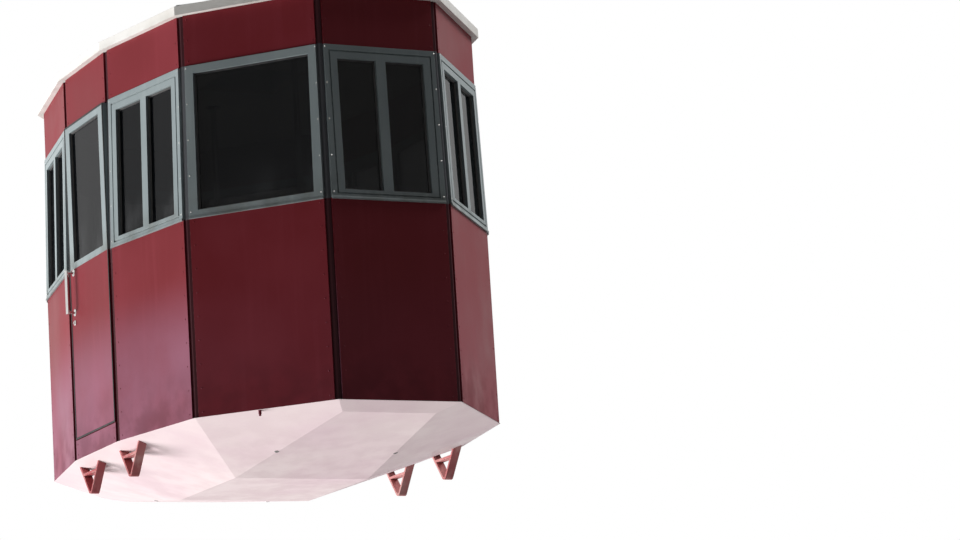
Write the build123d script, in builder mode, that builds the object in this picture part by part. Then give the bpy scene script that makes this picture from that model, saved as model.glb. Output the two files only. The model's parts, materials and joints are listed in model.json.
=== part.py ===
from build123d import *
from collections import namedtuple
from math import hypot
import os

# Aerial tramway cabin with its hanger and its carriage, in millimetres.
# The origin is on the axis of the track rope, in the middle of the carriage.
# X runs along the rope, Y across it, +Z is up.

# Plan of the cabin: twelve wall faces, symmetric about both axes
END_HALF_WIDTH = 370
SHOULDER_HALF_WIDTH = 940
HALF_WIDTH = 1090
HALF_LENGTH = 1790
CHAMFER_RUN = 656
DOOR_FACE_HALF = 345
SHOULDER_X = HALF_LENGTH - CHAMFER_RUN

# Heights above the lower edge of the cabin walls
CABIN_BOTTOM_Z = -5150
SILL_HEIGHT = 1120
WINDOW_TOP_HEIGHT = 1990
EAVES_HEIGHT = 2285
RIM_HEIGHT = 52
ROOF_RISE = 165
FLOOR_TOP_HEIGHT = 100
FLOOR_THICKNESS = 50
CEILING_THICKNESS = 25
THRESHOLD_RISE = 12

# Walls
WALL_THICKNESS = 45
WINDOW_LEAN = 19
STRIP_HALF_WIDTH = 24
STRIP_RECESS = 10
FRAME_PROUD = 6
RIM_OVERHANG = 34
ROOF_SHELL = 36
ROOF_TOP_INSET = 560

# Windows
PANE_THICKNESS = 8
PANE_DEPTH = 18
SINGLE_STILE = 56
SINGLE_TOP_RAIL = 46
SINGLE_FOOT_RAIL = 38
DOUBLE_STILE = 82
DOUBLE_TOP_RAIL = 78
DOUBLE_FOOT_RAIL = 46
MULLION = 60
GROOVE_INSET = 32
GROOVE_FOOT_INSET = 18
GROOVE_WIDTH = 9
GROOVE_DEPTH = 7

# Underside pan: plates sloping from the wall faces down to a flat
PAN_DEPTH = 216
PAN_FLAT_HALF_LENGTH = 425
PAN_FLAT_HALF_WIDTH = 415
PAN_THICKNESS = 25
END_STRIP_RUN = 150
END_STRIP_DROP = 41

# Feet of bent strap under the door sides
FOOT_PLACE_X = 320
FOOT_Y = 990
FOOT_HALF_WIDTH = 175
FOOT_STRAP_WIDTH = 50
FOOT_STRAP = 14
FOOT_BEND_RADIUS = 32
FOOT_CROSS_DROP = 72

# Doors
DOOR_GAP = 5
DOOR_THICKNESS = 40
HINGE_SETBACK = 37
HINGE_FOOT_INSET = 150
HINGE_TOP_INSET = 140
HINGE_SILL_DROP = 160
HINGE_PIN_RADIUS = 6
KNUCKLE_RADIUS = 11
KNUCKLE_LENGTH = 60
EYE_LENGTH = 18
EYE_GAP = 1
HINGE_STRAP = 60
EYE_POST_REACH = 26
EYE_FIT = 0.4
DOOR_STILE = 76
HANDLE_DROP = 140
HANDLE_INSET = 60
HANDLE_LENGTH = 260
HANDLE_RADIUS = 11
HANDLE_STEM_RADIUS = 9
HANDLE_STANDOFF = 45

# Roof hatch
HATCH_HALF_X = 260
HATCH_HALF_Y = 240
COAMING_WALL = 30
COAMING_RISE = 55
LID_THICKNESS = 30
LID_OVERHANG = 20
HATCH_HINGE_X = 150
HATCH_AXIS_OUT = 16
HATCH_AXIS_RISE = 12
HATCH_KNUCKLE_RADIUS = 10
HATCH_KNUCKLE_LENGTH = 60
HATCH_PIN_RADIUS = 5
HATCH_EYE_DROP = 18
HATCH_EYE_SEAT = 24

# Carriage on the track rope
ROPE_RADIUS = 22
TREAD_RADIUS = 140
FLANGE_RADIUS = 165
FLANGE_EDGE = 6
WHEEL_WIDTH = 70
AXLE_RADIUS = 25
RUNNING_GAP = 0.05
ROCKER_X = 500
ROCKER_HALF_BASE = 200
ROCKER_PIVOT_RISE = 75
ROCKER_PLATE = 14
ROCKER_SIDE_GAP = 6
ROCKER_END_RADIUS = 50
PIVOT_RADIUS = 30
SLEEVE_RADIUS = 42
FRAME_PLATE = 18
FRAME_SIDE_GAP = 6
FRAME_END_RADIUS = 60
FRAME_CREST_X = 260
FRAME_CREST_RISE = 110
FRAME_PIN_RADIUS = 80
SPACER_Z = 320
SPACER_RADIUS = 30
CHEEK_HOLE_X = 245
CHEEK_HOLE_Z = 262
CHEEK_HOLE_RADIUS = 58
HUB_RADIUS = 48
HUB_ROOT_RADIUS = 53
WEB_HALF = 10
WEB_OUTER_RADIUS = 98
RIM_INNER_RADIUS = 103
RIM_HALF_WIDTH = 30
WEB_HOLE_COUNT = 6
WEB_HOLE_RADIUS = 14
LINER_SEAT_RADIUS = 120
LINER_FIT = 0.2
LINER_RADIUS = 147
LINER_HALF_WIDTH = 19
LINER_LIP_Y = 17
TREAD_HALF_WIDTH = 8
FLANGE_LIP_Y = 28

# Hanger
PIN_RADIUS = 40
PIN_Z = 120
HANGER_Y = -185
HEAD_LENGTH = 110
HEAD_RADIUS = 85
HEAD_DROP = 160
HEAD_CORNER_RADIUS = 24
HEAD_CHAMFER = 12
SLEEVE_WALL = 12
SLEEVE_LENGTH = 120
SLEEVE_FIT = 0.3
PIN_COLLAR = 22
PIN_COLLAR_RADIUS = 58
PIN_END_GAP = 3
LEG_RADIUS = 42
LEG_HEAD_GAP = 8
KNEE_X = 190
KNEE_Z = -900
FOOT_X = 640
LEG_FLANGE_LENGTH = 190
LEG_FLANGE_THICKNESS = 16
ROOF_BEAM_WIDTH = 100
ROOF_BEAM_HEIGHT = 90
ROOF_BEAM_HALF_LENGTH = 430
ROOF_BEAM_TOP_HALF = 300
ROOF_BEAM_END_HEIGHT = 30
RUNG_RADIUS = 20
BAR_HEIGHTS = [680, 1010, 1340, 1670, 2060]

# Haul rope sockets
SOCKET_X = 860
SOCKET_Y = -110
SOCKET_Z = 40
SOCKET_LENGTH = 170
SOCKET_RADIUS = 38
SOCKET_NECK_RADIUS = 25
SOCKET_BODY_LENGTH = 70
SOCKET_NECK_START = 140
SOCKET_BORE = 13
SOCKET_FLOOR = 30
ARM_PLATE = 22

# Fittings inside the cabin
POLE_RADIUS = 19
POLE_X = 620
GUARD_RADIUS = 14
GUARD_SETBACK = 60
GUARD_RISE = 19
GUARD_END = 120
GUARD_FIT = 0.5
GUARD_STRAP = 8
GUARD_STRAP_HEIGHT = 20

os.makedirs("parts", exist_ok=True)


def level(height):
    """Height above the lower edge of the walls, as a Z value."""
    return CABIN_BOTTOM_Z + height


PLAN = [
    (-HALF_LENGTH, -END_HALF_WIDTH),
    (-HALF_LENGTH, END_HALF_WIDTH),
    (-SHOULDER_X, SHOULDER_HALF_WIDTH),
    (-DOOR_FACE_HALF, HALF_WIDTH),
    (DOOR_FACE_HALF, HALF_WIDTH),
    (SHOULDER_X, SHOULDER_HALF_WIDTH),
    (HALF_LENGTH, END_HALF_WIDTH),
    (HALF_LENGTH, -END_HALF_WIDTH),
    (SHOULDER_X, -SHOULDER_HALF_WIDTH),
    (DOOR_FACE_HALF, -HALF_WIDTH),
    (-DOOR_FACE_HALF, -HALF_WIDTH),
    (-SHOULDER_X, -SHOULDER_HALF_WIDTH),
]
CORNERS = len(PLAN)

Face = namedtuple("Face", "start window")
FACES = [
    Face(start=0, window="double"),
    Face(start=1, window="single"),
    Face(start=2, window="double"),
    Face(start=3, window="door"),
    Face(start=4, window="double"),
    Face(start=5, window="double"),
    Face(start=6, window="double"),
    Face(start=7, window="single"),
    Face(start=8, window="double"),
    Face(start=9, window="door"),
    Face(start=10, window="double"),
    Face(start=11, window="double"),
]
END_FACES = (0, 6)


def inset_plan(inset):
    """The plan's corners with every face moved inwards by inset."""
    moved = []
    for i in range(CORNERS):
        before = PLAN[i - 1]
        here = PLAN[i]
        after = PLAN[(i + 1) % CORNERS]
        in_x, in_y = unit(before, here)
        out_x, out_y = unit(here, after)
        # inward normals, because the corners run clockwise seen from above
        ax, ay = in_y, -in_x
        bx, by = out_y, -out_x
        scale = inset / (1 + ax * bx + ay * by)
        moved.append((here[0] + scale * (ax + bx), here[1] + scale * (ay + by)))
    return moved


def unit(a, b):
    """Direction from a to b in plan."""
    run = hypot(b[0] - a[0], b[1] - a[1])
    return (b[0] - a[0]) / run, (b[1] - a[1]) / run


def along(point, direction, distance):
    """A plan point moved along a direction."""
    return point[0] + direction[0] * distance, point[1] + direction[1] * distance


def face_strip(start, lean, proud, thickness, trim=STRIP_HALF_WIDTH):
    """Plan outline of a panel on one face, from proud of the wall to thickness inside it."""
    corners = inset_plan(lean)
    a = corners[start]
    b = corners[(start + 1) % CORNERS]
    run = unit(a, b)
    inward = (run[1], -run[0])
    p = along(along(a, run, trim), inward, -proud)
    q = along(along(b, run, -trim), inward, -proud)
    depth = proud + thickness
    return [p, q, along(q, inward, depth), along(p, inward, depth)]


def pane_strip(start, setback, thickness, shift, width):
    """Plan outline of a pane or frame bar, centred at shift along one face."""
    a = PLAN[start]
    b = PLAN[(start + 1) % CORNERS]
    run = unit(a, b)
    inward = (run[1], -run[0])
    middle = along(((a[0] + b[0]) / 2, (a[1] + b[1]) / 2), inward, setback)
    p = along(middle, run, shift - width / 2)
    q = along(middle, run, shift + width / 2)
    return [p, q, along(q, inward, thickness), along(p, inward, thickness)]


def corner_strip(corner, inset, thickness):
    """Plan outline of the post that closes one corner."""
    outer = inset_plan(inset)[corner]
    inner = inset_plan(inset + thickness)[corner]
    edge = inset_plan(inset - STRIP_RECESS)[corner]
    before = unit(PLAN[corner], PLAN[corner - 1])
    after = unit(PLAN[corner], PLAN[(corner + 1) % CORNERS])
    in_before = (-before[1], before[0])
    in_after = (after[1], -after[0])
    p = along(along(edge, before, STRIP_HALF_WIDTH), in_before, STRIP_RECESS)
    q = along(along(edge, after, STRIP_HALF_WIDTH), in_after, STRIP_RECESS)
    return [p, outer, q, along(q, in_after, thickness), inner, along(p, in_before, thickness)]


def face_length(start):
    """Length of one wall face in plan."""
    a = PLAN[start]
    b = PLAN[(start + 1) % CORNERS]
    return hypot(b[0] - a[0], b[1] - a[1])


def lean_at(height):
    """How far the wall has leaned inwards at a height."""
    share = (height - SILL_HEIGHT) / (WINDOW_TOP_HEIGHT - SILL_HEIGHT)
    return WINDOW_LEAN * min(max(share, 0), 1)


def panes(window, length):
    """Centre offset and width of each pane, with the pane's foot and top heights."""
    clear = length - 2 * STRIP_HALF_WIDTH
    if window == "single":
        width = clear - 2 * SINGLE_STILE
        foot = SILL_HEIGHT + SINGLE_FOOT_RAIL
        top = WINDOW_TOP_HEIGHT - SINGLE_TOP_RAIL
        return [(0, width, foot, top)]
    width = (clear - 2 * DOUBLE_STILE - MULLION) / 2
    foot = SILL_HEIGHT + DOUBLE_FOOT_RAIL
    top = WINDOW_TOP_HEIGHT - DOUBLE_TOP_RAIL
    shift = (width + MULLION) / 2
    return [(-shift, width, foot, top), (shift, width, foot, top)]


def face_plane(start, height, inset=0):
    """Plane on one face, X along the face, Z outwards."""
    corners = inset_plan(inset)
    a = corners[start]
    b = corners[(start + 1) % CORNERS]
    run = unit(a, b)
    middle = ((a[0] + b[0]) / 2, (a[1] + b[1]) / 2, level(height))
    return Plane(origin=middle, x_dir=(run[0], run[1], 0), z_dir=(-run[1], run[0], 0))


def window_plane(start, foot, top):
    """Plane on the leaning front of one window frame, half way from foot to top."""
    low = face_plane(start, foot, lean_at(foot) - FRAME_PROUD)
    high = face_plane(start, top, lean_at(top) - FRAME_PROUD)
    rise = high.origin - low.origin
    return Plane(origin=low.origin + rise / 2, x_dir=low.x_dir, z_dir=rise.cross(low.x_dir))


def plane_through(a, b, c, lift, up):
    """Plane through three points, raised by lift, facing up or down."""
    normal = (c - a).cross(b - a).normalized()
    if (normal.Z > 0) != up:
        normal = normal * -1
    return Plane(origin=a + Vector(0, 0, lift), z_dir=normal)


def pan_planes(start, lift):
    """Planes of the plates under one face, facing out of the pan."""
    a = PLAN[start]
    b = PLAN[(start + 1) % CORNERS]
    side_x = 1 if a[0] + b[0] > 0 else -1
    side_y = 1 if a[1] + b[1] > 0 else -1
    foot = Vector(side_x * PAN_FLAT_HALF_LENGTH, side_y * PAN_FLAT_HALF_WIDTH, level(-PAN_DEPTH))
    p = Vector(a[0], a[1], level(0))
    q = Vector(b[0], b[1], level(0))
    if start not in END_FACES:
        return [plane_through(p, q, foot, lift, up=False)]
    fold = Vector(-side_x * END_STRIP_RUN, 0, -END_STRIP_DROP)
    return [
        plane_through(p, q, p + fold, lift, up=False),
        plane_through(p + fold, q + fold, foot, lift, up=False),
    ]


def roof_plane(start, foot_inset, foot_height, top_inset, top_height):
    """Plane of one roof slope between an eaves line and a top line."""
    low = inset_plan(foot_inset)
    high = inset_plan(top_inset)
    after = (start + 1) % CORNERS
    p = Vector(low[start][0], low[start][1], level(foot_height))
    q = Vector(low[after][0], low[after][1], level(foot_height))
    r = Vector(high[start][0], high[start][1], level(top_height))
    return plane_through(p, q, r, 0, up=True)


WINDOW_FACES = [face for face in FACES if face.window != "door"]
DOOR_FOOT_HEIGHT = FLOOR_TOP_HEIGHT + THRESHOLD_RISE

# Lower wall panels, with a threshold under each door
with BuildPart() as lower_panels:
    for face in FACES:
        top = DOOR_FOOT_HEIGHT if face.window == "door" else SILL_HEIGHT
        with BuildSketch(Plane.XY.offset(level(0))):
            Polygon(*face_strip(face.start, 0, 0, WALL_THICKNESS), align=None)
        extrude(amount=top)
lower_panels.part.label = "lower_panels"
export_step(lower_panels.part, "parts/lower_panels.step")

# Upper band above the windows and above the doors
with BuildPart() as upper_panels:
    for face in FACES:
        with BuildSketch(Plane.XY.offset(level(WINDOW_TOP_HEIGHT))):
            Polygon(*face_strip(face.start, WINDOW_LEAN, 0, WALL_THICKNESS), align=None)
        extrude(amount=EAVES_HEIGHT - WINDOW_TOP_HEIGHT)
upper_panels.part.label = "upper_panels"
export_step(upper_panels.part, "parts/upper_panels.step")

# Posts in the recessed strips at the twelve corners
POST_DEPTH = WALL_THICKNESS - STRIP_RECESS
LEANT_RECESS = STRIP_RECESS + WINDOW_LEAN
with BuildPart() as corner_posts:
    for corner in range(CORNERS):
        with BuildSketch(Plane.XY.offset(level(0))):
            Polygon(*corner_strip(corner, STRIP_RECESS, POST_DEPTH), align=None)
        extrude(amount=SILL_HEIGHT)
        with BuildSketch(Plane.XY.offset(level(SILL_HEIGHT))):
            Polygon(*corner_strip(corner, STRIP_RECESS, POST_DEPTH), align=None)
        with BuildSketch(Plane.XY.offset(level(WINDOW_TOP_HEIGHT))):
            Polygon(*corner_strip(corner, LEANT_RECESS, POST_DEPTH), align=None)
        loft(ruled=True)
        with BuildSketch(Plane.XY.offset(level(WINDOW_TOP_HEIGHT))):
            Polygon(*corner_strip(corner, LEANT_RECESS, POST_DEPTH), align=None)
        extrude(amount=EAVES_HEIGHT - WINDOW_TOP_HEIGHT)
corner_posts.part.label = "corner_posts"
export_step(corner_posts.part, "parts/corner_posts.step")

# Window frames, one to a face, leaning in with the wall, with a groove round each pair of sashes
with BuildPart() as window_frames:
    for face in WINDOW_FACES:
        with BuildSketch(Plane.XY.offset(level(SILL_HEIGHT))):
            Polygon(*face_strip(face.start, 0, FRAME_PROUD, WALL_THICKNESS), align=None)
        with BuildSketch(Plane.XY.offset(level(WINDOW_TOP_HEIGHT))):
            Polygon(*face_strip(face.start, WINDOW_LEAN, FRAME_PROUD, WALL_THICKNESS), align=None)
        loft(ruled=True)
        for shift, width, foot, top in panes(face.window, face_length(face.start)):
            with BuildSketch(face_plane(face.start, (foot + top) / 2)):
                with Locations((shift, 0)):
                    Rectangle(width, top - foot)
            extrude(amount=2 * WALL_THICKNESS, both=True, mode=Mode.SUBTRACT)
        if face.window == "double":
            groove_foot = SILL_HEIGHT + GROOVE_FOOT_INSET
            groove_top = WINDOW_TOP_HEIGHT - GROOVE_INSET
            groove_width = face_length(face.start) - 2 * STRIP_HALF_WIDTH - 2 * GROOVE_INSET
            groove_height = groove_top - groove_foot
            with BuildSketch(window_plane(face.start, groove_foot, groove_top)):
                Rectangle(groove_width, groove_height)
                Rectangle(groove_width - 2 * GROOVE_WIDTH, groove_height - 2 * GROOVE_WIDTH,
                          mode=Mode.SUBTRACT)
            extrude(amount=GROOVE_DEPTH, both=True, mode=Mode.SUBTRACT)
window_frames.part.label = "window_frames"
export_step(window_frames.part, "parts/window_frames.step")

# Window panes
with BuildPart() as window_panes:
    for face in WINDOW_FACES:
        for shift, width, foot, top in panes(face.window, face_length(face.start)):
            for height in (foot, top):
                setback = lean_at(height) + PANE_DEPTH
                with BuildSketch(Plane.XY.offset(level(height))):
                    Polygon(*pane_strip(face.start, setback, PANE_THICKNESS, shift, width), align=None)
            loft(ruled=True)
window_panes.part.label = "window_panes"
export_step(window_panes.part, "parts/window_panes.step")

# Floor inside the walls
with BuildPart() as floor:
    with BuildSketch(Plane.XY.offset(level(FLOOR_TOP_HEIGHT - FLOOR_THICKNESS))):
        Polygon(*inset_plan(WALL_THICKNESS), align=None)
    extrude(amount=FLOOR_THICKNESS)
floor.part.label = "floor"
export_step(floor.part, "parts/floor.step")

# Ceiling inside the walls, open at the hatch
with BuildPart() as ceiling:
    with BuildSketch(Plane.XY.offset(level(EAVES_HEIGHT - CEILING_THICKNESS))):
        Polygon(*inset_plan(WALL_THICKNESS + WINDOW_LEAN), align=None)
        Rectangle(2 * HATCH_HALF_X, 2 * HATCH_HALF_Y, mode=Mode.SUBTRACT)
    extrude(amount=CEILING_THICKNESS)
ceiling.part.label = "ceiling"
export_step(ceiling.part, "parts/ceiling.step")

# Faceted pan under the floor: sloping plates from the faces down to a flat
with BuildPart() as pan_hollow:
    with BuildSketch(Plane.XY.offset(level(-PAN_DEPTH + PAN_THICKNESS))):
        Polygon(*inset_plan(WALL_THICKNESS), align=None)
    extrude(amount=PAN_DEPTH - PAN_THICKNESS)
    for face in FACES:
        for plate in pan_planes(face.start, PAN_THICKNESS):
            split(bisect_by=plate, keep=Keep.BOTTOM)
with BuildPart() as pan_block:
    with BuildSketch(Plane.XY.offset(level(-PAN_DEPTH))):
        Polygon(*inset_plan(0), align=None)
    extrude(amount=PAN_DEPTH)
    for face in FACES:
        for plate in pan_planes(face.start, 0):
            split(bisect_by=plate, keep=Keep.BOTTOM)
with BuildPart() as belly_pan:
    add(pan_block.part)
    add(pan_hollow.part, mode=Mode.SUBTRACT)
belly_pan.part.label = "belly_pan"
export_step(belly_pan.part, "parts/belly_pan.step")

# Feet: straps bent to a V with a cross piece, fitted to the pan above them
FOOT_CROSS_WIDTH = 2 * FOOT_HALF_WIDTH * (1 - FOOT_CROSS_DROP / PAN_DEPTH) - FOOT_STRAP
with BuildPart() as pan_feet:
    for side in (-1, 1):
        for place in (-1, 1):
            plane = Plane(origin=(place * FOOT_PLACE_X, side * FOOT_Y, level(0)), x_dir=(1, 0, 0),
                          z_dir=(0, -1, 0))
            with BuildSketch(plane):
                Polygon((-FOOT_HALF_WIDTH, 0), (0, -PAN_DEPTH), (FOOT_HALF_WIDTH, 0), align=None)
                fillet(vertices().sort_by(Axis.Y)[0], FOOT_BEND_RADIUS)
                offset(amount=-FOOT_STRAP, kind=Kind.INTERSECTION, mode=Mode.SUBTRACT)
                with Locations((0, -FOOT_CROSS_DROP)):
                    Rectangle(FOOT_CROSS_WIDTH, FOOT_STRAP)
            extrude(amount=FOOT_STRAP_WIDTH / 2, both=True)
    add(pan_block.part, mode=Mode.SUBTRACT)
pan_feet.part.label = "pan_feet"
export_step(pan_feet.part, "parts/pan_feet.step")

# White rim strip along the eaves
EAVES_INSET = WINDOW_LEAN - RIM_OVERHANG
with BuildPart() as roof_rim:
    with BuildSketch(Plane.XY.offset(level(EAVES_HEIGHT))):
        Polygon(*inset_plan(EAVES_INSET), align=None)
        Polygon(*inset_plan(WINDOW_LEAN + WALL_THICKNESS), align=None, mode=Mode.SUBTRACT)
    extrude(amount=RIM_HEIGHT)
roof_rim.part.label = "roof_rim"
export_step(roof_rim.part, "parts/roof_rim.step")

# Roof shell with hipped slopes and a flat top
ROOF_FOOT = EAVES_HEIGHT + RIM_HEIGHT
ROOF_TOP = ROOF_FOOT + ROOF_RISE
ROOF_HOLLOW_INSET = WINDOW_LEAN + WALL_THICKNESS
with BuildPart() as roof_hollow:
    with BuildSketch(Plane.XY.offset(level(ROOF_FOOT))):
        Polygon(*inset_plan(ROOF_HOLLOW_INSET), align=None)
    extrude(amount=ROOF_RISE - ROOF_SHELL)
    for face in FACES:
        slope = roof_plane(face.start, ROOF_HOLLOW_INSET, ROOF_FOOT, ROOF_TOP_INSET + ROOF_SHELL,
                           ROOF_TOP - ROOF_SHELL)
        split(bisect_by=slope, keep=Keep.BOTTOM)
with BuildPart() as roof:
    with BuildSketch(Plane.XY.offset(level(ROOF_FOOT))):
        Polygon(*inset_plan(EAVES_INSET), align=None)
    extrude(amount=ROOF_RISE)
    for face in FACES:
        slope = roof_plane(face.start, EAVES_INSET, ROOF_FOOT, ROOF_TOP_INSET, ROOF_TOP)
        split(bisect_by=slope, keep=Keep.BOTTOM)
    add(roof_hollow.part, mode=Mode.SUBTRACT)
    with BuildSketch(Plane.XY.offset(level(ROOF_FOOT))):
        Rectangle(2 * HATCH_HALF_X + 2 * COAMING_WALL, 2 * HATCH_HALF_Y + 2 * COAMING_WALL)
    extrude(amount=ROOF_RISE, mode=Mode.SUBTRACT)
roof.part.label = "roof"
export_step(roof.part, "parts/roof.step")

# Coaming round the hatchway, up through the roof, with the eyes and pins of the lid's hinges
LID_FOOT_Z = level(ROOF_TOP) + COAMING_RISE
LID_HALF_X = HATCH_HALF_X + COAMING_WALL + LID_OVERHANG
LID_HALF_Y = HATCH_HALF_Y + COAMING_WALL + LID_OVERHANG
HATCH_AXIS_Y = LID_HALF_Y + HATCH_AXIS_OUT
HATCH_AXIS_Z = LID_FOOT_Z + HATCH_AXIS_RISE
HATCH_EYE_X = HATCH_KNUCKLE_LENGTH / 2 + EYE_GAP
COAMING_SIDE_Y = HATCH_HALF_Y + COAMING_WALL
with BuildPart() as hatch_coaming:
    with BuildSketch(Plane.XY.offset(level(EAVES_HEIGHT))):
        Rectangle(2 * HATCH_HALF_X + 2 * COAMING_WALL, 2 * COAMING_SIDE_Y)
        Rectangle(2 * HATCH_HALF_X, 2 * HATCH_HALF_Y, mode=Mode.SUBTRACT)
    extrude(amount=RIM_HEIGHT + ROOF_RISE + COAMING_RISE)
    for place in (-HATCH_HINGE_X, HATCH_HINGE_X):
        for eye_x in (place - HATCH_EYE_X - EYE_LENGTH, place + HATCH_EYE_X):
            with BuildSketch(Plane.YZ.offset(eye_x)):
                Polygon(
                    (COAMING_SIDE_Y, HATCH_AXIS_Z - HATCH_EYE_DROP - HATCH_EYE_SEAT),
                    (HATCH_AXIS_Y + HATCH_KNUCKLE_RADIUS, HATCH_AXIS_Z - HATCH_EYE_DROP - HATCH_KNUCKLE_RADIUS),
                    (HATCH_AXIS_Y + HATCH_KNUCKLE_RADIUS, HATCH_AXIS_Z),
                    (HATCH_AXIS_Y - HATCH_KNUCKLE_RADIUS, HATCH_AXIS_Z),
                    (HATCH_AXIS_Y - HATCH_KNUCKLE_RADIUS, HATCH_AXIS_Z - HATCH_EYE_DROP),
                    (COAMING_SIDE_Y, HATCH_AXIS_Z - HATCH_EYE_DROP),
                    align=None,
                )
                with Locations((HATCH_AXIS_Y, HATCH_AXIS_Z)):
                    Circle(HATCH_KNUCKLE_RADIUS)
            extrude(amount=EYE_LENGTH)
        with BuildSketch(Plane.YZ.offset(place - HATCH_EYE_X)):
            with Locations((HATCH_AXIS_Y, HATCH_AXIS_Z)):
                Circle(HATCH_PIN_RADIUS)
        extrude(amount=2 * HATCH_EYE_X)
hatch_coaming.part.label = "hatch_coaming"
export_step(hatch_coaming.part, "parts/hatch_coaming.step")

# Hatch lid with its two hinge knuckles along the left edge
with BuildPart() as hatch_lid:
    with BuildSketch(Plane.XY.offset(LID_FOOT_Z)):
        Rectangle(2 * LID_HALF_X, 2 * LID_HALF_Y)
    extrude(amount=LID_THICKNESS)
    for place in (-HATCH_HINGE_X, HATCH_HINGE_X):
        with BuildSketch(Plane.YZ.offset(place - HATCH_KNUCKLE_LENGTH / 2)):
            with Locations((LID_HALF_Y + HATCH_AXIS_OUT / 2, HATCH_AXIS_Z)):
                Rectangle(HATCH_AXIS_OUT, 2 * HATCH_KNUCKLE_RADIUS)
            with Locations((HATCH_AXIS_Y, HATCH_AXIS_Z)):
                Circle(HATCH_KNUCKLE_RADIUS)
            with Locations((HATCH_AXIS_Y, HATCH_AXIS_Z)):
                Circle(HATCH_PIN_RADIUS + RUNNING_GAP, mode=Mode.SUBTRACT)
        extrude(amount=HATCH_KNUCKLE_LENGTH)
hatch_lid.part.label = "hatch_lid"
export_step(hatch_lid.part, "parts/hatch_lid.step")

# Cross beams on the roof that carry the hanger, sloped at their ends
with BuildPart() as roof_beams:
    for end in (-1, 1):
        with BuildSketch(Plane.YZ.offset(end * FOOT_X - ROOF_BEAM_WIDTH / 2)):
            Polygon(
                (-ROOF_BEAM_HALF_LENGTH, level(ROOF_TOP)),
                (ROOF_BEAM_HALF_LENGTH, level(ROOF_TOP)),
                (ROOF_BEAM_HALF_LENGTH, level(ROOF_TOP) + ROOF_BEAM_END_HEIGHT),
                (ROOF_BEAM_TOP_HALF, level(ROOF_TOP) + ROOF_BEAM_HEIGHT),
                (-ROOF_BEAM_TOP_HALF, level(ROOF_TOP) + ROOF_BEAM_HEIGHT),
                (-ROOF_BEAM_HALF_LENGTH, level(ROOF_TOP) + ROOF_BEAM_END_HEIGHT),
                align=None,
            )
        extrude(amount=ROOF_BEAM_WIDTH)
roof_beams.part.label = "roof_beams"
export_step(roof_beams.part, "parts/roof_beams.step")

# Hanger head on the pin beside the rope, widening down to sleeves round the two legs
BEAM_TOP_Z = level(ROOF_TOP) + ROOF_BEAM_HEIGHT
HEAD_FOOT_Z = PIN_Z - HEAD_DROP
LEG_HEAD_X = LEG_RADIUS + LEG_HEAD_GAP
HEAD_CORNER_X = LEG_HEAD_X + LEG_RADIUS - HEAD_CORNER_RADIUS
HEAD_CORNER_Z = HEAD_FOOT_Z + HEAD_CORNER_RADIUS


def leg_points(end):
    """Head, knee and foot of one leg's centre line."""
    return [
        Vector(end * LEG_HEAD_X, HANGER_Y, HEAD_FOOT_Z + LEG_RADIUS),
        Vector(end * KNEE_X, HANGER_Y, KNEE_Z),
        Vector(end * FOOT_X, 0, BEAM_TOP_Z - LEG_RADIUS),
    ]


with BuildPart() as leg_bores:
    for end in (-1, 1):
        head, knee = leg_points(end)[:2]
        with BuildSketch(Plane(origin=head, z_dir=knee - head)):
            Circle(LEG_RADIUS + SLEEVE_FIT)
        extrude(amount=2 * SLEEVE_LENGTH)
    split(bisect_by=Plane.XY.offset(HEAD_FOOT_Z), keep=Keep.BOTTOM)
with BuildPart() as hanger_head:
    with BuildSketch(Plane.XZ.offset(-HANGER_Y - HEAD_LENGTH / 2)):
        with Locations((0, PIN_Z)):
            Circle(HEAD_RADIUS)
        with Locations((-HEAD_CORNER_X, HEAD_CORNER_Z), (HEAD_CORNER_X, HEAD_CORNER_Z)):
            Circle(HEAD_CORNER_RADIUS)
        make_hull()
        with Locations((0, HEAD_CORNER_Z - HEAD_CORNER_RADIUS / 2)):
            Rectangle(2 * LEG_HEAD_X + 2 * LEG_RADIUS, HEAD_CORNER_RADIUS)
    extrude(amount=HEAD_LENGTH)
    chamfer(faces().filter_by(Axis.Y).edges(), HEAD_CHAMFER)
    for end in (-1, 1):
        head, knee = leg_points(end)[:2]
        with BuildSketch(Plane(origin=head, z_dir=knee - head)):
            Circle(LEG_RADIUS + SLEEVE_WALL)
        extrude(amount=SLEEVE_LENGTH)
    add(leg_bores.part, mode=Mode.SUBTRACT)
    with BuildSketch(Plane.XZ.offset(-HANGER_Y - HEAD_LENGTH / 2)):
        with Locations((0, PIN_Z)):
            Circle(PIN_RADIUS + RUNNING_GAP)
    extrude(amount=HEAD_LENGTH, mode=Mode.SUBTRACT)
hanger_head.part.label = "hanger_head"
export_step(hanger_head.part, "parts/hanger_head.step")

# Hanger legs: straight beside the rope, then sloping in to flanges on the roof beams
with BuildPart() as hanger_legs:
    for end in (-1, 1):
        head, knee, foot = leg_points(end)
        with BuildLine() as leg_line:
            Polyline(head, knee, foot)
        with BuildSketch(Plane(origin=head, z_dir=knee - head)):
            Circle(LEG_RADIUS)
        sweep(path=leg_line.wires()[0], transition=Transition.ROUND)
    split(bisect_by=Plane.XY.offset(HEAD_FOOT_Z), keep=Keep.BOTTOM)
    split(bisect_by=Plane.XY.offset(BEAM_TOP_Z), keep=Keep.TOP)
    for end in (-1, 1):
        with BuildSketch(Plane.XY.offset(BEAM_TOP_Z)):
            with Locations((end * FOOT_X, 0)):
                Rectangle(ROOF_BEAM_WIDTH, LEG_FLANGE_LENGTH)
        extrude(amount=LEG_FLANGE_THICKNESS)
hanger_legs.part.label = "hanger_legs"
export_step(hanger_legs.part, "parts/hanger_legs.step")

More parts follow.
